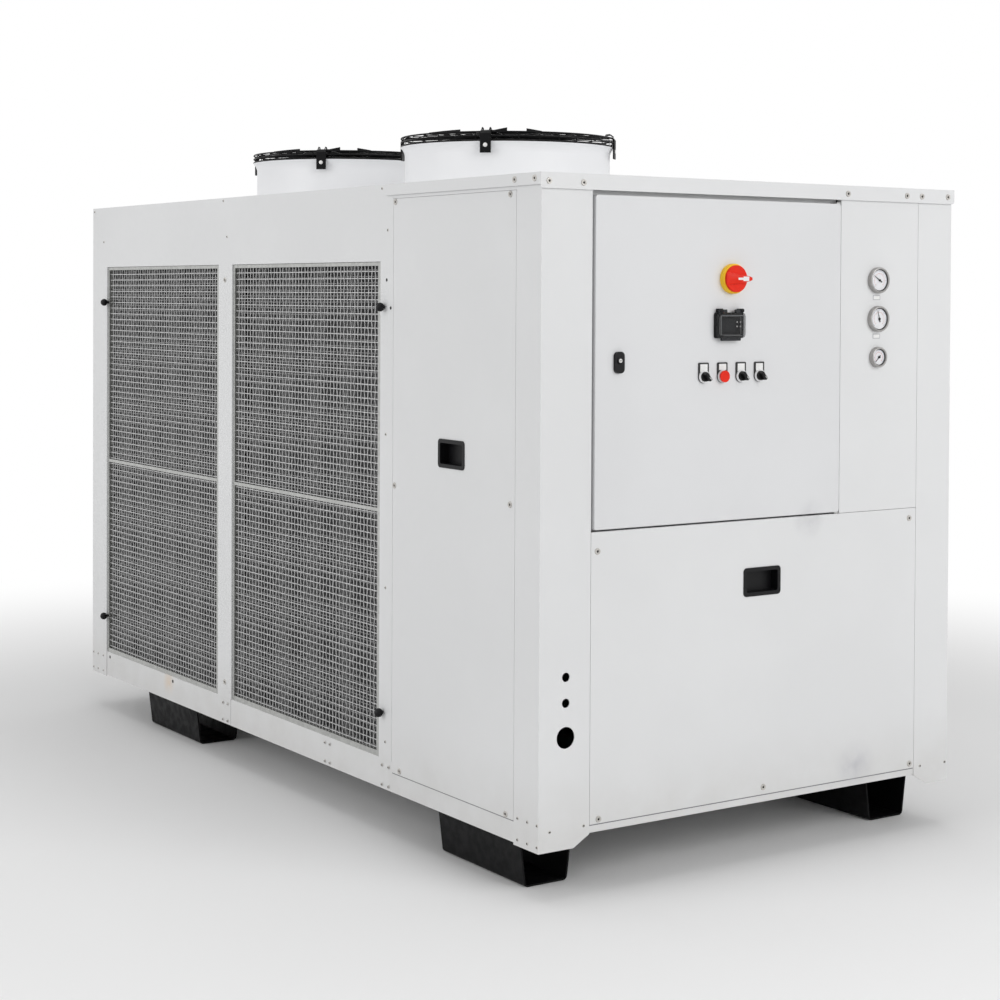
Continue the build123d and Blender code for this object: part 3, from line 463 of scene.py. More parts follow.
def black_steel():
    """Black painted steel with faint lighter dust."""
    paint = Finish("black_steel", (0.0035, 0.0035, 0.004), roughness=0.55)
    paint.socket("Specular IOR Level", 0.12)
    paint.tint(paint.ramp(paint.noise(22.0, 8.0), 0.0, 0.3, 0.55, 0.75), (0.016, 0.0155, 0.015))
    paint.rough(paint.noise(40.0, 4.0), 0.35, 0.6)
    paint.relief(paint.noise(260.0, 3.0), 0.0005, 0.4)


def galvanised(name, colour):
    """Zinc-coated sheet with its spangle."""
    zinc = Finish(name, colour, roughness=0.4, metallic=0.55)
    zinc.tint(zinc.ramp(zinc.cells(90.0), 0.0, 0.35, 0.0, 1.0), darker(colour, 0.62))
    zinc.rough(zinc.noise(120.0, 3.0), 0.32, 0.55)
    zinc.relief(zinc.noise(240.0, 2.0), 0.0002, 0.4)


def plastic(name, colour, roughness=0.35):
    """Moulded plastic with fine grain and a slight change of tone."""
    moulded = Finish(name, colour, roughness=roughness)
    moulded.socket("Specular IOR Level", 0.2)
    moulded.tint(moulded.ramp(moulded.noise(70.0, 3.0), 0.0, 0.25), darker(colour, 0.7))
    moulded.rough(moulded.noise(300.0, 2.0), roughness * 0.85, roughness * 1.2)
    moulded.relief(moulded.noise(900.0, 2.0), 0.00015, 0.4)


def coil_fins():
    """Dark aluminium fins, close together, with darker cloudy patches."""
    fins = Finish("coil_fins", (0.035, 0.036, 0.038), roughness=0.6, metallic=0.3)
    fins.tint(fins.ramp(fins.noise(30.0, 5.0), 0.0, 0.5), (0.012, 0.012, 0.012))
    fins.relief(fins.noise(60.0, 0.0, (0.1, 9.0, 0.1)), 0.002, 0.8)
    fins.rough(fins.noise(50.0, 3.0), 0.5, 0.75)


def operator_plastic():
    """Black legend plates with bright collars."""
    low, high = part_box("operator_plates")
    plate = Finish("operator_plastic", (0.005, 0.005, 0.006), roughness=0.35)
    collar_high = (high.x + 0.01, high.y - PLATE_THICK - 0.0004, high.z)
    plate.tint(plate.within((low.x - 0.01, low.y - 0.01, low.z - 0.01), collar_high), (0.86, 0.86, 0.87))
    plate.rough(plate.noise(200.0, 2.0), 0.25, 0.4)
    plate.relief(plate.noise(900.0, 2.0), 0.00015, 0.4)


def smoked():
    """Smoked clear plastic."""
    clear = Finish("smoked_cover", (0.012, 0.013, 0.014), roughness=0.12)
    clear.socket("Alpha", 0.38)
    clear.tint(clear.ramp(clear.noise(40.0, 4.0), 0.0, 0.3, 0.5, 0.8), (0.09, 0.09, 0.09))
    clear.relief(clear.noise(90.0, 2.0), 0.0006, 0.3)


# Stage

# Floor, in metres: reach, drop below the feet, and where it fades into the backdrop
FLOOR_REACH = 40.0
FLOOR_DROP = 0.0005
FLOOR_FADE = (1.6, 4.0)

# Square lamps: name, place in metres and power in watts
SOFTBOX_SIZE = 4.0
SOFTBOXES = (
    ("front_softbox", (1.5, -7.0, 3.4), 165.0),
    ("side_softbox", (-7.0, 0.5, 3.2), 125.0),
    ("top_softbox", (0.0, 0.0, 6.5), 90.0),
)


class StageSettings(PropertyGroup):
    """Camera, floor and lights."""

    camera_place: FloatVectorProperty(
        name="Camera Place",
        description="Camera from the cabinet's front left corner, at the lower end of its post",
        default=(-2.4701, -3.5474, 1.2191),
        subtype="TRANSLATION",
        unit="LENGTH",
    )
    camera_turn: FloatVectorProperty(
        name="Camera Turn", description="Turn to the right, tilt down and roll of the camera",
        default=(radians(33.679), radians(1.065), radians(0.284)), subtype="EULER", unit="ROTATION",
    )
    camera_lens: FloatProperty(
        name="Lens", description="Focal length for a sensor 36 mm wide", default=72.04
    )
    camera_shift: FloatProperty(
        name="Shift", description="Upright shift that frames the chiller as photographed", default=-0.17
    )
    ambient: FloatProperty(
        name="Ambient", description="Strength of the soft light from all sides", default=0.5
    )
    floor_colour: FloatVectorProperty(
        name="Floor Colour", description="Pale floor under the chiller",
        default=(0.86, 0.86, 0.86), subtype="COLOR",
    )


def seen_directly(tree):
    """1 for rays from the camera and for those that metal and glass send on."""
    path = tree.nodes.new("ShaderNodeLightPath")
    total = path.outputs["Is Camera Ray"]
    for name in ("Is Glossy Ray", "Is Transmission Ray"):
        either = tree.nodes.new("ShaderNodeMath")
        either.operation = "MAXIMUM"
        tree.links.new(total, either.inputs[0])
        tree.links.new(path.outputs[name], either.inputs[1])
        total = either.outputs[0]
    return total


def blend(tree, amount, first, second, output):
    """Mix two surfaces by that amount into the output node."""
    mix = tree.nodes.new("ShaderNodeMixShader")
    for source, socket in zip((amount, first.outputs[0], second.outputs[0]), mix.inputs):
        tree.links.new(source, socket)
    tree.links.new(mix.outputs[0], tree.nodes[output].inputs["Surface"])


def make_world(ambient):
    """Soft light all round, and white where it is seen."""
    world = bpy.data.worlds.new("studio")
    world.use_nodes = True
    tree = world.node_tree
    light = tree.nodes["Background"]
    backdrop = tree.nodes.new("ShaderNodeBackground")
    for glow, strength in ((light, ambient), (backdrop, 1.0)):
        glow.inputs["Color"].default_value = (1.0, 1.0, 1.0, 1.0)
        glow.inputs["Strength"].default_value = strength
    blend(tree, seen_directly(tree), light, backdrop, "World Output")
    bpy.context.scene.world = world


def make_floor(colour):
    """A pale floor that runs out into the white backdrop."""
    mesh = bpy.data.meshes.new("floor")
    corners = [(x, y, 0) for x, y in oblong(-FLOOR_REACH, FLOOR_REACH, -FLOOR_REACH, FLOOR_REACH)]
    mesh.from_pydata(corners, [], [(0, 1, 2, 3)])
    floor = in_scene("floor", mesh)
    floor.location.z = -FLOOR_DROP
    finish = Finish("pale_floor", colour, roughness=0.8)
    finish.tint(finish.ramp(finish.noise(0.8, 4.0), 0.0, 0.1), darker(colour, 0.94))
    distance = finish.node("VectorMath", {0: finish.coordinates}, operation="LENGTH")["Value"]
    far = finish.ramp(distance, 0.0, 1.0, *FLOOR_FADE)
    white = finish.tree.nodes.new("ShaderNodeEmission")
    amount = finish.product(far, seen_directly(finish.tree))
    blend(finish.tree, amount, finish.shader, white, "Material Output")
    mesh.materials.append(finishes["pale_floor"])


def make_softbox(name, spot, power):
    """A square area lamp that looks at the chiller's middle."""
    lamp = bpy.data.lights.new(name, "AREA")
    lamp.size = SOFTBOX_SIZE
    lamp.energy = power
    softbox = in_scene(name, lamp)
    softbox.location = spot
    way = (cad_low + cad_high) / 2 - Vector(spot)
    softbox.rotation_euler = way.to_track_quat("-Z", "Y").to_euler()


class CHILLER_OT_stage(Operator):
    """Camera, floor, backdrop and soft studio light"""

    bl_idname = "chiller.stage"
    bl_label = "Stage"

    def execute(self, context):
        settings = context.scene.chiller_stage
        context.scene.view_settings.view_transform = "Standard"
        make_world(settings.ambient)
        make_floor(settings.floor_colour)
        for softbox in SOFTBOXES:
            make_softbox(*softbox)
        camera = bpy.data.cameras.new("camera")
        camera.sensor_width = 36.0
        camera.lens = settings.camera_lens
        camera.shift_y = settings.camera_shift
        camera.clip_end = 200.0
        seat = in_scene("camera", camera)
        turn, tilt, roll = settings.camera_turn
        way = Euler((pi / 2 - tilt, 0.0, -turn)).to_matrix() @ Matrix.Rotation(roll, 3, "Z")
        seat.matrix_world = Matrix.LocRotScale(corner + Vector(settings.camera_place), way, None)
        context.scene.camera = seat
        return {"FINISHED"}


# Finishes of the solids


class FinishSettings(PropertyGroup):
    """Colours of the main finishes."""

    coat_colour: FloatVectorProperty(
        name="Coat Colour", description="Pale powder coat of the cabinet",
        default=(0.76, 0.765, 0.77), subtype="COLOR",
    )
    door_colour: FloatVectorProperty(
        name="Door Colour", description="Slightly darker coat of the electrical door",
        default=(0.73, 0.735, 0.745), subtype="COLOR",
    )
    cowl_colour: FloatVectorProperty(
        name="Cowl Colour", description="Whiter coat of the fan cowls",
        default=(0.9, 0.905, 0.92), subtype="COLOR",
    )
    zinc_colour: FloatVectorProperty(
        name="Zinc Colour", description="Galvanised sheet of the filter frames",
        default=(0.49, 0.495, 0.48), subtype="COLOR",
    )


class CHILLER_OT_finishes(Operator):
    """Procedural finishes on every solid that shows"""

    bl_idname = "chiller.finishes"
    bl_label = "Finishes"

    def execute(self, context):
        settings = context.scene.chiller_finishes
        powder_coat("powder_coat", settings.coat_colour)
        powder_coat("door_coat", settings.door_colour)
        powder_coat("cowl_coat", settings.cowl_colour)
        galvanised("galvanised", settings.zinc_colour)
        for name, colour in METALS:
            galvanised(name, colour)
        for name, colour, roughness in PLASTICS:
            plastic(name, colour, roughness)
        for make in (black_steel, coil_fins, operator_plastic, smoked):
            make()
        for finish, starts in DRESSED:
            for name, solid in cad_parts.items():
                if name.startswith(starts):
                    solid.data.materials.clear()
                    solid.data.materials.append(finishes[finish])
        return {"FINISHED"}


# Mesh code


def circle(sides, radius, start=0.0):
    """Corners of a round outline."""
    turns = [start + 2 * pi * side / sides for side in range(sides)]
    return [(radius * cos(turn), radius * sin(turn)) for turn in turns]


def oblong(left, right, low, high):
    """Corners of a rectangle."""
    return [(left, low), (right, low), (right, high), (left, high)]


def rounded(width, height, radius, steps=5):
    """Outline of a rectangle with round corners, about its middle."""
    outline = []
    for side, (right, up) in enumerate(((1, 1), (-1, 1), (-1, -1), (1, -1))):
        for step in range(steps + 1):
            turn = (side + step / steps) * pi / 2
            across = right * (width / 2 - radius) + radius * cos(turn)
            outline.append((across, up * (height / 2 - radius) + radius * sin(turn)))
    return outline


class Shape:
    """Points and faces of a piece while it is made."""

    def __init__(self, matrix=None):
        self.points, self.faces, self.slots = [], [], []
        self.matrix = matrix or Matrix()
        self.slot = 0

    def at(self, matrix, slot=0):
        """What follows is made at that place, with that finish of the piece."""
        self.matrix, self.slot = matrix, slot
        return self

    def skin(self, rings, closed=False):
        """A skin over rings of points, with caps unless it closes on itself."""
        start, count = len(self.points), len(rings[0])
        points = [self.matrix @ Vector(point) for ring in rings for point in ring]
        faces = []
        for row in range(len(rings) if closed else len(rings) - 1):
            this, following = row * count, (row + 1) % len(rings) * count
            for side in range(count):
                other = (side + 1) % count
                faces.append((this + side, this + other, following + other, following + side))
        if not closed:
            faces += [range(count), range(len(points) - count, len(points))]
        self.points.extend(points)
        self.faces.extend([start + index for index in face] for face in faces)
        self.slots.extend([self.slot] * len(faces))

    def sweep(self, path, section, across, closed=False):
        """A section carried along a path; its own X lies along across."""
        path = [Vector(point) for point in path]
        across = Vector(across)
        rings = []
        for index, point in enumerate(path):
            before = path[index - 1] if index or closed else point
            after = path[(index + 1) % len(path)] if index + 1 < len(path) or closed else point
            along = (after - before).normalized()
            side = (across - along * across.dot(along)).normalized()
            up = along.cross(side)
            rings.append([point + side * x + up * y for x, y in section])
        self.skin(rings, closed)

    def lathe(self, profile, sides):
        """A profile of (radius, height) turned about Z."""
        rings = []
        for radius, height in profile:
            rings.append([(x, y, height) for x, y in circle(sides, radius)])
        self.skin(rings)

    def turned(self, matrix, form):
        """A turned form at that place."""
        for slot, profile, sides in form:
            self.at(matrix, slot).lathe(profile, sides)

    def slab(self, outline, low, high, bevel=0.0):
        """A flat plate, with the upper edge broken by the bevel."""
        rings = [[(x, y, low) for x, y in outline], [(x, y, high - bevel) for x, y in outline]]
        if bevel:
            reach = max(max(abs(x), abs(y)) for x, y in outline)
            less = 1.0 - bevel / reach
            rings.append([(x * less, y * less, high) for x, y in outline])
        self.skin(rings)


def piece(name, shape, dressed, body=CABINET, replaces=()):
    """Make a piece of that shape, which rides on a body and takes its finish from a slot."""
    mesh = bpy.data.meshes.new(name)
    mesh.from_pydata(shape.points, [], shape.faces)
    for finish in dressed:
        mesh.materials.append(finishes[finish])
    mesh.polygons.foreach_set("material_index", shape.slots)
    sides = bmesh.new()
    sides.from_mesh(mesh)
    bmesh.ops.recalc_face_normals(sides, faces=sides.faces)
    sides.to_mesh(mesh)
    sides.free()
    mesh.shade_smooth()
    mesh.set_sharp_from_angle(angle=SHARP)
    made = in_scene(name, mesh)
    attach(made, body)
    if replaces:
        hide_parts(*replaces)


# Wire cloth of the filters


class ClothSettings(PropertyGroup):
    """Woven wire on both faces of the filters."""

    pitch: FloatProperty(
        name="Pitch", description="Spacing of the outer cloth's wires", default=0.0175, unit="LENGTH"
    )
    back_pitch: FloatProperty(
        name="Back Pitch",
        description="Spacing of the inner cloth's wires",
        default=0.0159,
        unit="LENGTH",
    )
    wire: FloatProperty(
        name="Wire", description="Thickness of the wires", default=0.0026, unit="LENGTH"
    )


def weave(cloth, depth, bay, heights, pitch, wire, drift, crimp):
    """Wires that run over and under each other across a bay, at that depth."""
    section = circle(4, wire / 2, pi / 4)
    (near, far), (low, high) = bay, heights
    columns = int((far - near) / pitch)
    rows = int((high - low) / pitch)
    for column in range(1, columns):
        path = []
        for row in range(rows + 1):
            sway = drift * sin(row * SWAY[0] + column * SWAY[1])
            over = crimp if (row + column) % 2 else -crimp
            path.append((depth + over, near + column * pitch + sway, low + row * (high - low) / rows))
        cloth.sweep(path, section, (1, 0, 0))
    for row in range(1, rows):
        path = []
        for column in range(columns + 1):
            sag = drift * sin(row * SAG[0] + column * SAG[1])
            over = -crimp if (row + column) % 2 else crimp
            path.append((depth + over, near + column * (far - near) / columns, low + row * pitch + sag))
        cloth.sweep(path, section, (1, 0, 0))


class CHILLER_OT_wire_cloth(Operator):
    """Woven wire cloth, two layers deep, on each filter"""

    bl_idname = "chiller.wire_cloth"
    bl_label = "Wire Cloth"

    def execute(self, context):
        settings = context.scene.chiller_cloth
        wire = settings.wire
        for hand, side in SIDES:
            node = "filter_mesh_" + hand
            low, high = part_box(node)
            face, heights = low.x if side < 0 else high.x, (low.z, high.z)
            for end, reaches in zip(("front", "rear"), BAYS):
                bay = [corner.y + reach for reach in reaches]
                cloth = Shape()
                weave(cloth, face - side * wire, bay, heights, settings.pitch, wire, 0.0, wire * CRIMP)
                # The inner cloth takes a darker copy of the wire's finish, as painted shade
                cloth.slot = 1
                inner = face - side * CLOTH_GAP
                weave(cloth, inner, bay, heights, settings.back_pitch, wire, DRIFT, 0.0)
                replaced = (node,) if end == "front" else ()
                name = "wire_cloth_{}_{}".format(hand, end)
                piece(name, cloth, ("outer_wire", "inner_wire_shaded"), replaces=replaced)
        return {"FINISHED"}


# Guards over the fans


class GuardSettings(PropertyGroup):
    """Wire guards of the fans."""

    wire: FloatProperty(
        name="Wire", description="Thickness of the rings and spokes", default=0.0028, unit="LENGTH"
    )
    rim_wire: FloatProperty(
        name="Rim Wire", description="Thickness of the outer rings", default=0.0046, unit="LENGTH"
    )
    rings: IntProperty(name="Rings", description="Rings over each fan", default=5)
    spokes: IntProperty(name="Spokes", description="Spokes under the rings", default=32)
    arm_width: FloatProperty(
        name="Arm Width", description="Width of the flat arms", default=0.029, unit="LENGTH"
    )


def crown(radius, outer, rim):
    """Height of the rings, which rise a little towards the middle."""
    return rim + SKIRT_LEVELS[-1] + CROWN * (1.0 - (radius / outer) ** 2)


def guard_ring(guard, radius, height, section):
    """A round wire about the guard's axis."""
    path = [(x, y, height) for x, y in circle(RING_SIDES, radius)]
    guard.sweep(path, section, UP, closed=True)


def guard_spoke(guard, turn, outer, inside, rim, wire):
    """A wire that runs under the rings and down inside the skirt."""
    way = Vector((cos(turn), sin(turn), 0))
    path = []
    for step in range(SPOKE_STEPS + 1):
        radius = GUARD_HUB + (inside - GUARD_HUB) * step / SPOKE_STEPS
        path.append(way * radius + UP * (crown(radius, outer, rim) - wire))
    path.append(way * inside + UP * (rim + SKIRT_LEVELS[0]))
    guard.sweep(path, circle(5, wire / 2), (-sin(turn), cos(turn), 0))


def guard_tab(guard, outer, low, start, stop, first, last):
    """A flat strip that stands up along the outer ring."""
    rings = []
    for step in range(TAB_STEPS + 1):
        share = step / TAB_STEPS
        turn = radians(start + (stop - start) * share)
        way = Vector((cos(turn), sin(turn), 0))
        high = low + first + (last - first) * share
        near, far = way * (outer - TAB_HALF), way * (outer + TAB_HALF)
        rings.append([near + UP * low, far + UP * low, far + UP * high, near + UP * high])
    guard.skin(rings)


def guard_arm(guard, seat, outer, rim, top, width):
    """A flat arm over the rings, bent down outside the rim, with its hooks and screw."""
    half, thick = width / 2, ARM_THICK / 2
    strap = oblong(-half, half, -thick, thick)
    level, down = crown(outer, outer, rim), outer + ARM_OUT
    path = [
        (ARM_START, 0, top - thick - 0.0002),
        (ARM_MIDDLE, 0, crown(ARM_MIDDLE, outer, rim) + ARM_OVER),
        (outer - ARM_BEND, 0, level + ARM_OVER),
        (down - 0.004, 0, level + 0.0010),
        (down, 0, level - 0.004),
        (down, 0, rim - ARM_DROP),
    ]
    guard.at(seat).sweep(path, strap, (0, 1, 0))
    for across in HOOK_PLACES:
        hook = [(outer + reach, across, level + rise) for reach, rise in HOOK]
        guard.sweep(hook, circle(6, HOOK_WIRE / 2), (0, 1, 0))
    spot = moved(seat, down + thick - 0.0001, 0, rim - ARM_SCREW_DROP)
    guard.turned(spot @ Matrix.Rotation(pi / 2, 4, "Y"), ARM_SCREW)


class CHILLER_OT_guards(Operator):
    """Wire guards with their arms over both fans"""

    bl_idname = "chiller.guards"
    bl_label = "Fan Guards"

    def execute(self, context):
        settings = context.scene.chiller_guards
        wire, rim_wire = settings.wire, settings.rim_wire
        for end in ("front", "rear"):
            node = "fan_guard_" + end
            low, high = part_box(node)
            rim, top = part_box("fan_cowl_" + end)[1].z, high.z
            outer = (high.x - low.x) / 2 - rim_wire / 2
            inside = outer - rim_wire / 2 - wire / 2
            middle = Matrix.Translation(((low.x + high.x) / 2, (low.y + high.y) / 2, 0))
            guard = Shape(middle)
            for ring in range(1, settings.rings):
                radius = GUARD_HUB + (outer - GUARD_HUB) * ring / settings.rings
                guard_ring(guard, radius, crown(radius, outer, rim), circle(6, wire / 2))
            for level in SKIRT_LEVELS:
                guard_ring(guard, outer, rim + level, circle(8, rim_wire / 2))
            for spoke in range(settings.spokes):
                turn = 2 * pi * (spoke + 0.5) / settings.spokes
                guard_spoke(guard, turn, outer, inside, rim, wire)
            for tab in GUARD_TABS:
                guard_tab(guard, outer, rim + SKIRT_LEVELS[-1], *tab)
            guard.lathe([(GUARD_HUB + reach, top + rise) for reach, rise in HUB_RING], 40)
            for turn in ARM_TURNS:
                seat = middle @ Matrix.Rotation(radians(turn), 4, "Z")
                guard_arm(guard, seat, outer, rim, top, settings.arm_width)
            for x, y in circle(6, HUB_BOLTS, pi / 6):
                guard.turned(moved(middle, x, y, top - 0.004), HUB_BOLT)
            piece(node + "_wires", guard, ("black_steel", "bright_zinc"), replaces=(node,))
        return {"FINISHED"}


# Fasteners


def on_face(face, across, up, out):
    """A place on that face, in millimetres: from the left or the front, up, and out of it."""
    if face == "front":
        return place(face, corner + Vector((across, -out, up)) * MM)
    spot = corner + Vector((-out, across, up)) * MM
    if face == "right":
        spot.x = -spot.x
    return place(face, spot)


class CHILLER_OT_fasteners(Operator):
    """Screws, rivets and open holes of the cabinet and its cover"""

    bl_idname = "chiller.fasteners"
    bl_label = "Fasteners"

    def execute(self, context):
        for face, groups in FASTENERS.items():
            heads = Shape()
            for spots, out, form in groups:
                for across, up in spots:
                    heads.turned(on_face(face, across, up, out), form)
            # Slot 1 of the forms takes the painted shade of sockets and holes
            piece(face + "_fasteners", heads, ("dull_screw", "socket"))
        return {"FINISHED"}


# Strips that close the top of the side panels


class CHILLER_OT_trims(Operator):
    """Folded strips behind the cover's lip, over both side panels"""

    bl_idname = "chiller.trims"
    bl_label = "Trims"

    def execute(self, context):
        for hand, side in SIDES:
            low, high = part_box("side_panel_" + hand)
            face = low.x if side < 0 else high.x
            near, far = sorted((face, face - side * STRIP_DEEP))
            foot, top = high.z + STRIP_GAP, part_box("header_" + hand)[1].z
            rings = []
            for y in (low.y - STRIP_REACH, high.y + STRIP_REACH):
                rings.append([(x, y, z) for x, z in oblong(near, far, foot, top)])
            strip = Shape()
            strip.skin(rings)
            piece("panel_top_strip_" + hand, strip, ("powder_coat",))
        return {"FINISHED"}


# Pressure gauges


class GaugeSettings(PropertyGroup):
    """Dials of the pressure gauges."""

    recess: FloatProperty(
        name="Recess", description="Depth of the dial behind the rim", default=0.006, unit="LENGTH"
    )
    marks: IntProperty(name="Marks", description="Marks on each scale", default=31)


def gauge_marks(dial, radius, height, count, reach):
    """Scale marks round three quarters of the dial, every fifth one longer."""
    for index in range(count):
        turn = radians(MARKS_FROM - MARKS_ROUND * index / (count - 1))
        long = reach * (1.6 if index % 5 == 0 else 1.0)
        way = Vector((cos(turn), sin(turn), 0))
        across = Vector((-sin(turn), cos(turn), 0)) * MARK_WIDE / 2
        inner, outer = way * (radius - long), way * radius
        outline = (inner - across, inner + across, outer + across, outer - across)
        dial.skin([[point + UP * level for point in outline] for level in (height, height + 0.0001)])


class CHILLER_OT_gauges(Operator):
    """Cases, dials, needles and bare labels of the gauges"""

    bl_idname = "chiller.gauges"
    bl_label = "Gauges"

    def execute(self, context):
        settings = context.scene.chiller_gauges
        for node, turn, has_label in GAUGES:
            low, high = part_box(node)
            radius = (high.x - low.x) / 2
            proud, depth = corner.y - low.y, high.y - corner.y
            middle = Vector(((low.x + high.x) / 2, corner.y, (low.z + high.z) / 2))
            seat = place("front", middle)
            bore, floor = radius - RIM_WALL, proud - settings.recess
            self.make_case(node, seat, radius, depth, proud, floor)
            self.make_dial(node, seat, bore, floor, settings.marks)
            self.make_needle(node, seat @ Matrix.Rotation(turn, 4, "Z"), bore, floor)
            if has_label:
                label = Shape(place("front", middle - GAUGE_LABEL_SPOT))
                label.slab(rounded(*GAUGE_LABEL), 0.0, 0.0006)
                label.slot = 1
                label.slab(rounded(*GAUGE_LABEL_FIELD), 0.0006, 0.0008)
                piece(node + "_label", label, ("label_edge", "label"))
        return {"FINISHED"}

    def make_case(self, node, seat, radius, depth, proud, floor):
        """Turned case: body behind the panel, rim, and the wall down to the dial."""
        body, bore = radius - CASE_WALL, radius - RIM_WALL
        profile = [(body, -depth), (body, 0.0), (radius, 0.0), (radius, proud - 0.003)]
        profile += [(radius - 0.0012, proud - 0.0008), (radius - 0.003, proud)]
        profile += [(bore, proud - 0.0015), (bore, floor)]
        case = Shape(seat)
        case.lathe(profile, 56)
        piece(node + "_case", case, ("stainless_bezel",), replaces=(node,))

    def make_dial(self, node, seat, bore, floor, count):
        """White dial with two scales, and a dark ring of painted shade at its edge where the rim shades
        it.
        """
        face = floor + 0.0001 + DIAL_THICK
        dial = Shape(seat)
        dial.lathe([(bore - 0.0003, floor + 0.0001), (bore - 0.0003, face)], 48)
        dial.slot = 1
        gauge_marks(dial, bore * 0.9, face, count, 0.0026)
        dial.slot = 2
        gauge_marks(dial, bore * 0.66, face, count, 0.0020)
        # Dark ring of painted shade round the dial's edge, under the rim
        dial.slot = 3
        edge = [(x, y, floor + 0.0010) for x, y in circle(48, bore - 0.0012)]
        dial.sweep(edge, circle(6, 0.0009), UP, closed=True)
        piece(node + "_dial", dial, ("dial", "dial_marks", "dial_red", "needle"))

    def make_needle(self, node, seat, bore, floor):
        """Tapered needle on its boss."""
        tip, tail = bore * 0.8, bore * 0.3
        blade = [(-tail, 0.0014), (-tail, -0.0014), (0, -0.001)]
        blade += [(tip, -0.0003), (tip, 0.0003), (0, 0.001)]
        needle = Shape(seat)
        needle.slab(blade, floor + 0.0020, floor + 0.0026)
        needle.lathe([(0.0028, floor + 0.0006), (0.0028, floor + 0.0038), (0.0018, floor + 0.0044)], 16)
        piece(node + "_needle", needle, ("needle",))


# Controls on the door


def grip_height(along):
    """Height of the main switch's grip at that place."""
    for (start, _, low), (stop, _, high) in zip(GRIP, GRIP[1:]):
        if start <= along <= stop:
            return low + (high - low) * (along - start) / (stop - start)
    return 0.0


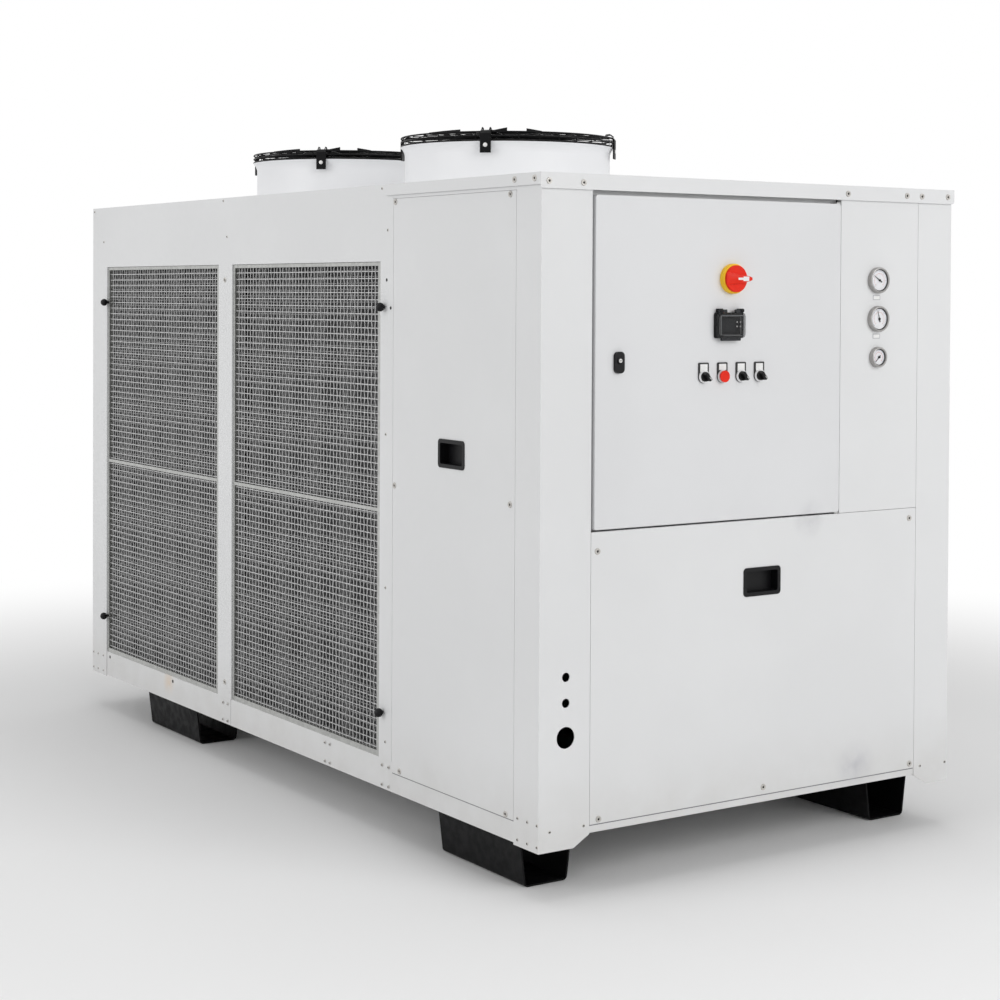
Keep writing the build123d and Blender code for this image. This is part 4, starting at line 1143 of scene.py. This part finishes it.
class CHILLER_OT_controls(Operator):
    """Bare label fields, lever marks, the controller's face and the lock's insert"""

    bl_idname = "chiller.controls"
    bl_label = "Controls"

    def execute(self, context):
        plates_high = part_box("operator_plates")[1]
        door_face = plates_high.y
        fields = Shape()
        for x, tall in LABELS:
            spot = (corner.x + x * MM, door_face - PLATE_THICK, plates_high.z - LABEL_DROP - tall / 2)
            fields.at(place("front", spot)).slab(rounded(LABEL_WIDE, tall, 0.0012), 0.0, LABEL_THICK)
        piece("operator_labels", fields, ("label",), DOOR)
        for number in (1, 2, 3):
            name = "selector_{}".format(number)
            low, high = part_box(name)
            spot = ((low.x + high.x) / 2, low.y, (low.z + high.z) / 2)
            mark = Shape(place("front", spot, -LEVER_TURN))
            mark.slab(oblong(*LEVER_MARK), 0.0, 0.0003)
            piece(name + "_mark", mark, ("label",), name)
        self.make_switch()
        self.make_controller(door_face)
        self.make_cover()
        self.make_lock()
        return {"FINISHED"}

    def make_switch(self):
        """The main switch's disc with its ramped grip and white pointer."""
        low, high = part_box("main_switch_handle")
        radius = (high.z - low.z) / 2
        handle = Shape(place("front", (low.x + radius, high.y, (low.z + high.z) / 2)))
        shoulder_z = DISC_THICK - DISC_EDGE
        handle.lathe([(radius, 0.0), (radius, shoulder_z), (radius - DISC_EDGE, DISC_THICK)], 64)
        rings = []
        for along, half, rise in GRIP:
            foot, top, shoulder = half + GRIP_FOOT, DISC_THICK + rise, DISC_THICK + rise * 0.82
            rings.append([
                (along, -foot, shoulder_z),
                (along, foot, shoulder_z),
                (along, half, shoulder),
                (along, half * 0.8, top),
                (along, -half * 0.8, top),
                (along, -half, shoulder),
            ])
        handle.skin(rings)
        handle.slot = 1
        for start, stop, half in POINTER:
            rings = []
            for along in (start, stop):
                top = DISC_THICK + grip_height(along)
                outline = oblong(-half, half, top - 0.0005, top + 0.0004)
                rings.append([(along, across, level) for across, level in outline])
            handle.skin(rings)
        node = "main_switch_handle"
        piece("main_switch_grip", handle, ("red_plastic", "label"), node, (node,))

    def make_cover(self):
        """The smoked cover with its cut corners, lugs and long latch, and pale strips of painted
        highlight along its edges.
        """
        node = "controller_cover"
        low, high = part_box(node)
        middle_z = corner.z + CONTROLLER_Z * MM
        seat = place("front", ((low.x + high.x) / 2, high.y, middle_z))
        tall = 2 * (middle_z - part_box("controller")[0].z)
        wide, deep = high.x - low.x, high.y - low.y
        outer = rounded(wide, tall, 0.009, 2)
        inner = rounded(wide - 0.003, tall - 0.003, 0.008, 2)
        rings = []
        for outline, level in ((outer, 0.0), (outer, deep - 0.002), (inner, deep)):
            rings.append([(x, y, level) for x, y in outline])
        rings.append([(x * 0.96, y * 0.95, deep) for x, y in inner])
        cover = Shape(seat)
        cover.skin(rings)
        # Pale strips of painted highlight along the cover's edges
        for x, y, across, up in COVER_EDGE_HIGHLIGHTS:
            cover.at(moved(seat, x, y, deep - 0.0008), 1)
            cover.slab(rounded(across, up, 0.0006, 2), 0.0, 0.0007)
        for x, across in COVER_LUGS:
            cover.at(moved(seat, x, tall / 2 + 0.0025, 0.0), 2)
            cover.slab(rounded(across, LUG_TALL, 0.002, 2), 0.0, deep * 0.7, 0.001)
        cover.at(moved(seat, 0.0, low.z - middle_z + LUG_TALL / 2, 0.0), 2)
        cover.slab(rounded(LATCH_WIDE, LUG_TALL, 0.002, 2), 0.0, deep * 0.6, 0.001)
        dressed = ("smoked_cover", "cover_edge_highlight", "dark_clear")
        piece("controller_cover_shell", cover, dressed, node, (node,))

    def make_controller(self, door_face):
        """The controller's inner face, seen through its smoked cover, with grey strips of painted
        highlight along its edges.
        """
        low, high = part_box("controller")
        spot = ((low.x + high.x) / 2, door_face - CONTROLLER_PROUD, corner.z + CONTROLLER_Z * MM)
        seat = place("front", spot)
        panel = Shape(seat)
        panel.slab(rounded(*PANEL), 0.0, PANEL_THICK, 0.0006)
        panel.at(moved(seat, *SCREEN_SPOT, PANEL_THICK), 1)
        panel.slab(rounded(*SCREEN), 0.0, 0.0004)
        for x in KEY_XS:
            for z in KEY_ZS:
                panel.turned(moved(seat, x, z, PANEL_THICK), KEY)
        # Grey strips of painted highlight along the face's edges
        for x, z, wide, tall in CONTROLLER_EDGE_HIGHLIGHTS:
            panel.at(moved(seat, x, z, PANEL_THICK), 3).slab(rounded(wide, tall, 0.0008, 2), 0.0, 0.0008)
        dressed = ("black_plastic", "screen", "label", "grey_edge_highlight")
        piece("controller_face", panel, dressed, DOOR)

    def make_lock(self):
        """The lock's round insert with its key slot."""
        low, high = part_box("door_lock")
        seat = place("front", ((low.x + high.x) / 2, low.y, (low.z + high.z) / 2 + 0.004))
        insert = Shape()
        insert.turned(seat, LOCK)
        # The key slot is a dark slab of painted shade
        insert.at(seat, 2).slab(oblong(-0.003, 0.003, -0.0008, 0.0008), 0.0026, 0.0028)
        piece("lock_insert", insert, ("black_plastic", "bright_zinc", "socket"), DOOR)


OPERATORS = (
    CHILLER_OT_stage,
    CHILLER_OT_finishes,
    CHILLER_OT_wire_cloth,
    CHILLER_OT_guards,
    CHILLER_OT_fasteners,
    CHILLER_OT_trims,
    CHILLER_OT_gauges,
    CHILLER_OT_controls,
)

SETTINGS = {
    "chiller_stage": StageSettings,
    "chiller_finishes": FinishSettings,
    "chiller_cloth": ClothSettings,
    "chiller_guards": GuardSettings,
    "chiller_gauges": GaugeSettings,
}


class CHILLER_PT_pieces(Panel):
    """The chiller's groups of pieces"""

    bl_label = "Liquid Chiller"
    bl_space_type = "VIEW_3D"
    bl_region_type = "UI"
    bl_category = "Chiller"

    def draw(self, context):
        for operator in OPERATORS:
            self.layout.operator(operator.bl_idname)


def register():
    """Register the settings, the operators and the panel."""
    for group in SETTINGS.values():
        bpy.utils.register_class(group)
    for name, group in SETTINGS.items():
        setattr(bpy.types.Scene, name, PointerProperty(type=group))
    for part in (*OPERATORS, CHILLER_PT_pieces):
        bpy.utils.register_class(part)


def unregister():
    """Take them all out again."""
    for part in reversed((*OPERATORS, CHILLER_PT_pieces)):
        bpy.utils.unregister_class(part)
    for name, group in SETTINGS.items():
        delattr(bpy.types.Scene, name)
        bpy.utils.unregister_class(group)


def main():
    """Make every group of pieces."""
    register()
    bpy.ops.chiller.stage()
    bpy.ops.chiller.finishes()
    bpy.ops.chiller.wire_cloth()
    bpy.ops.chiller.guards()
    bpy.ops.chiller.fasteners()
    bpy.ops.chiller.trims()
    bpy.ops.chiller.gauges()
    bpy.ops.chiller.controls()


if __name__ == "__main__":
    main()
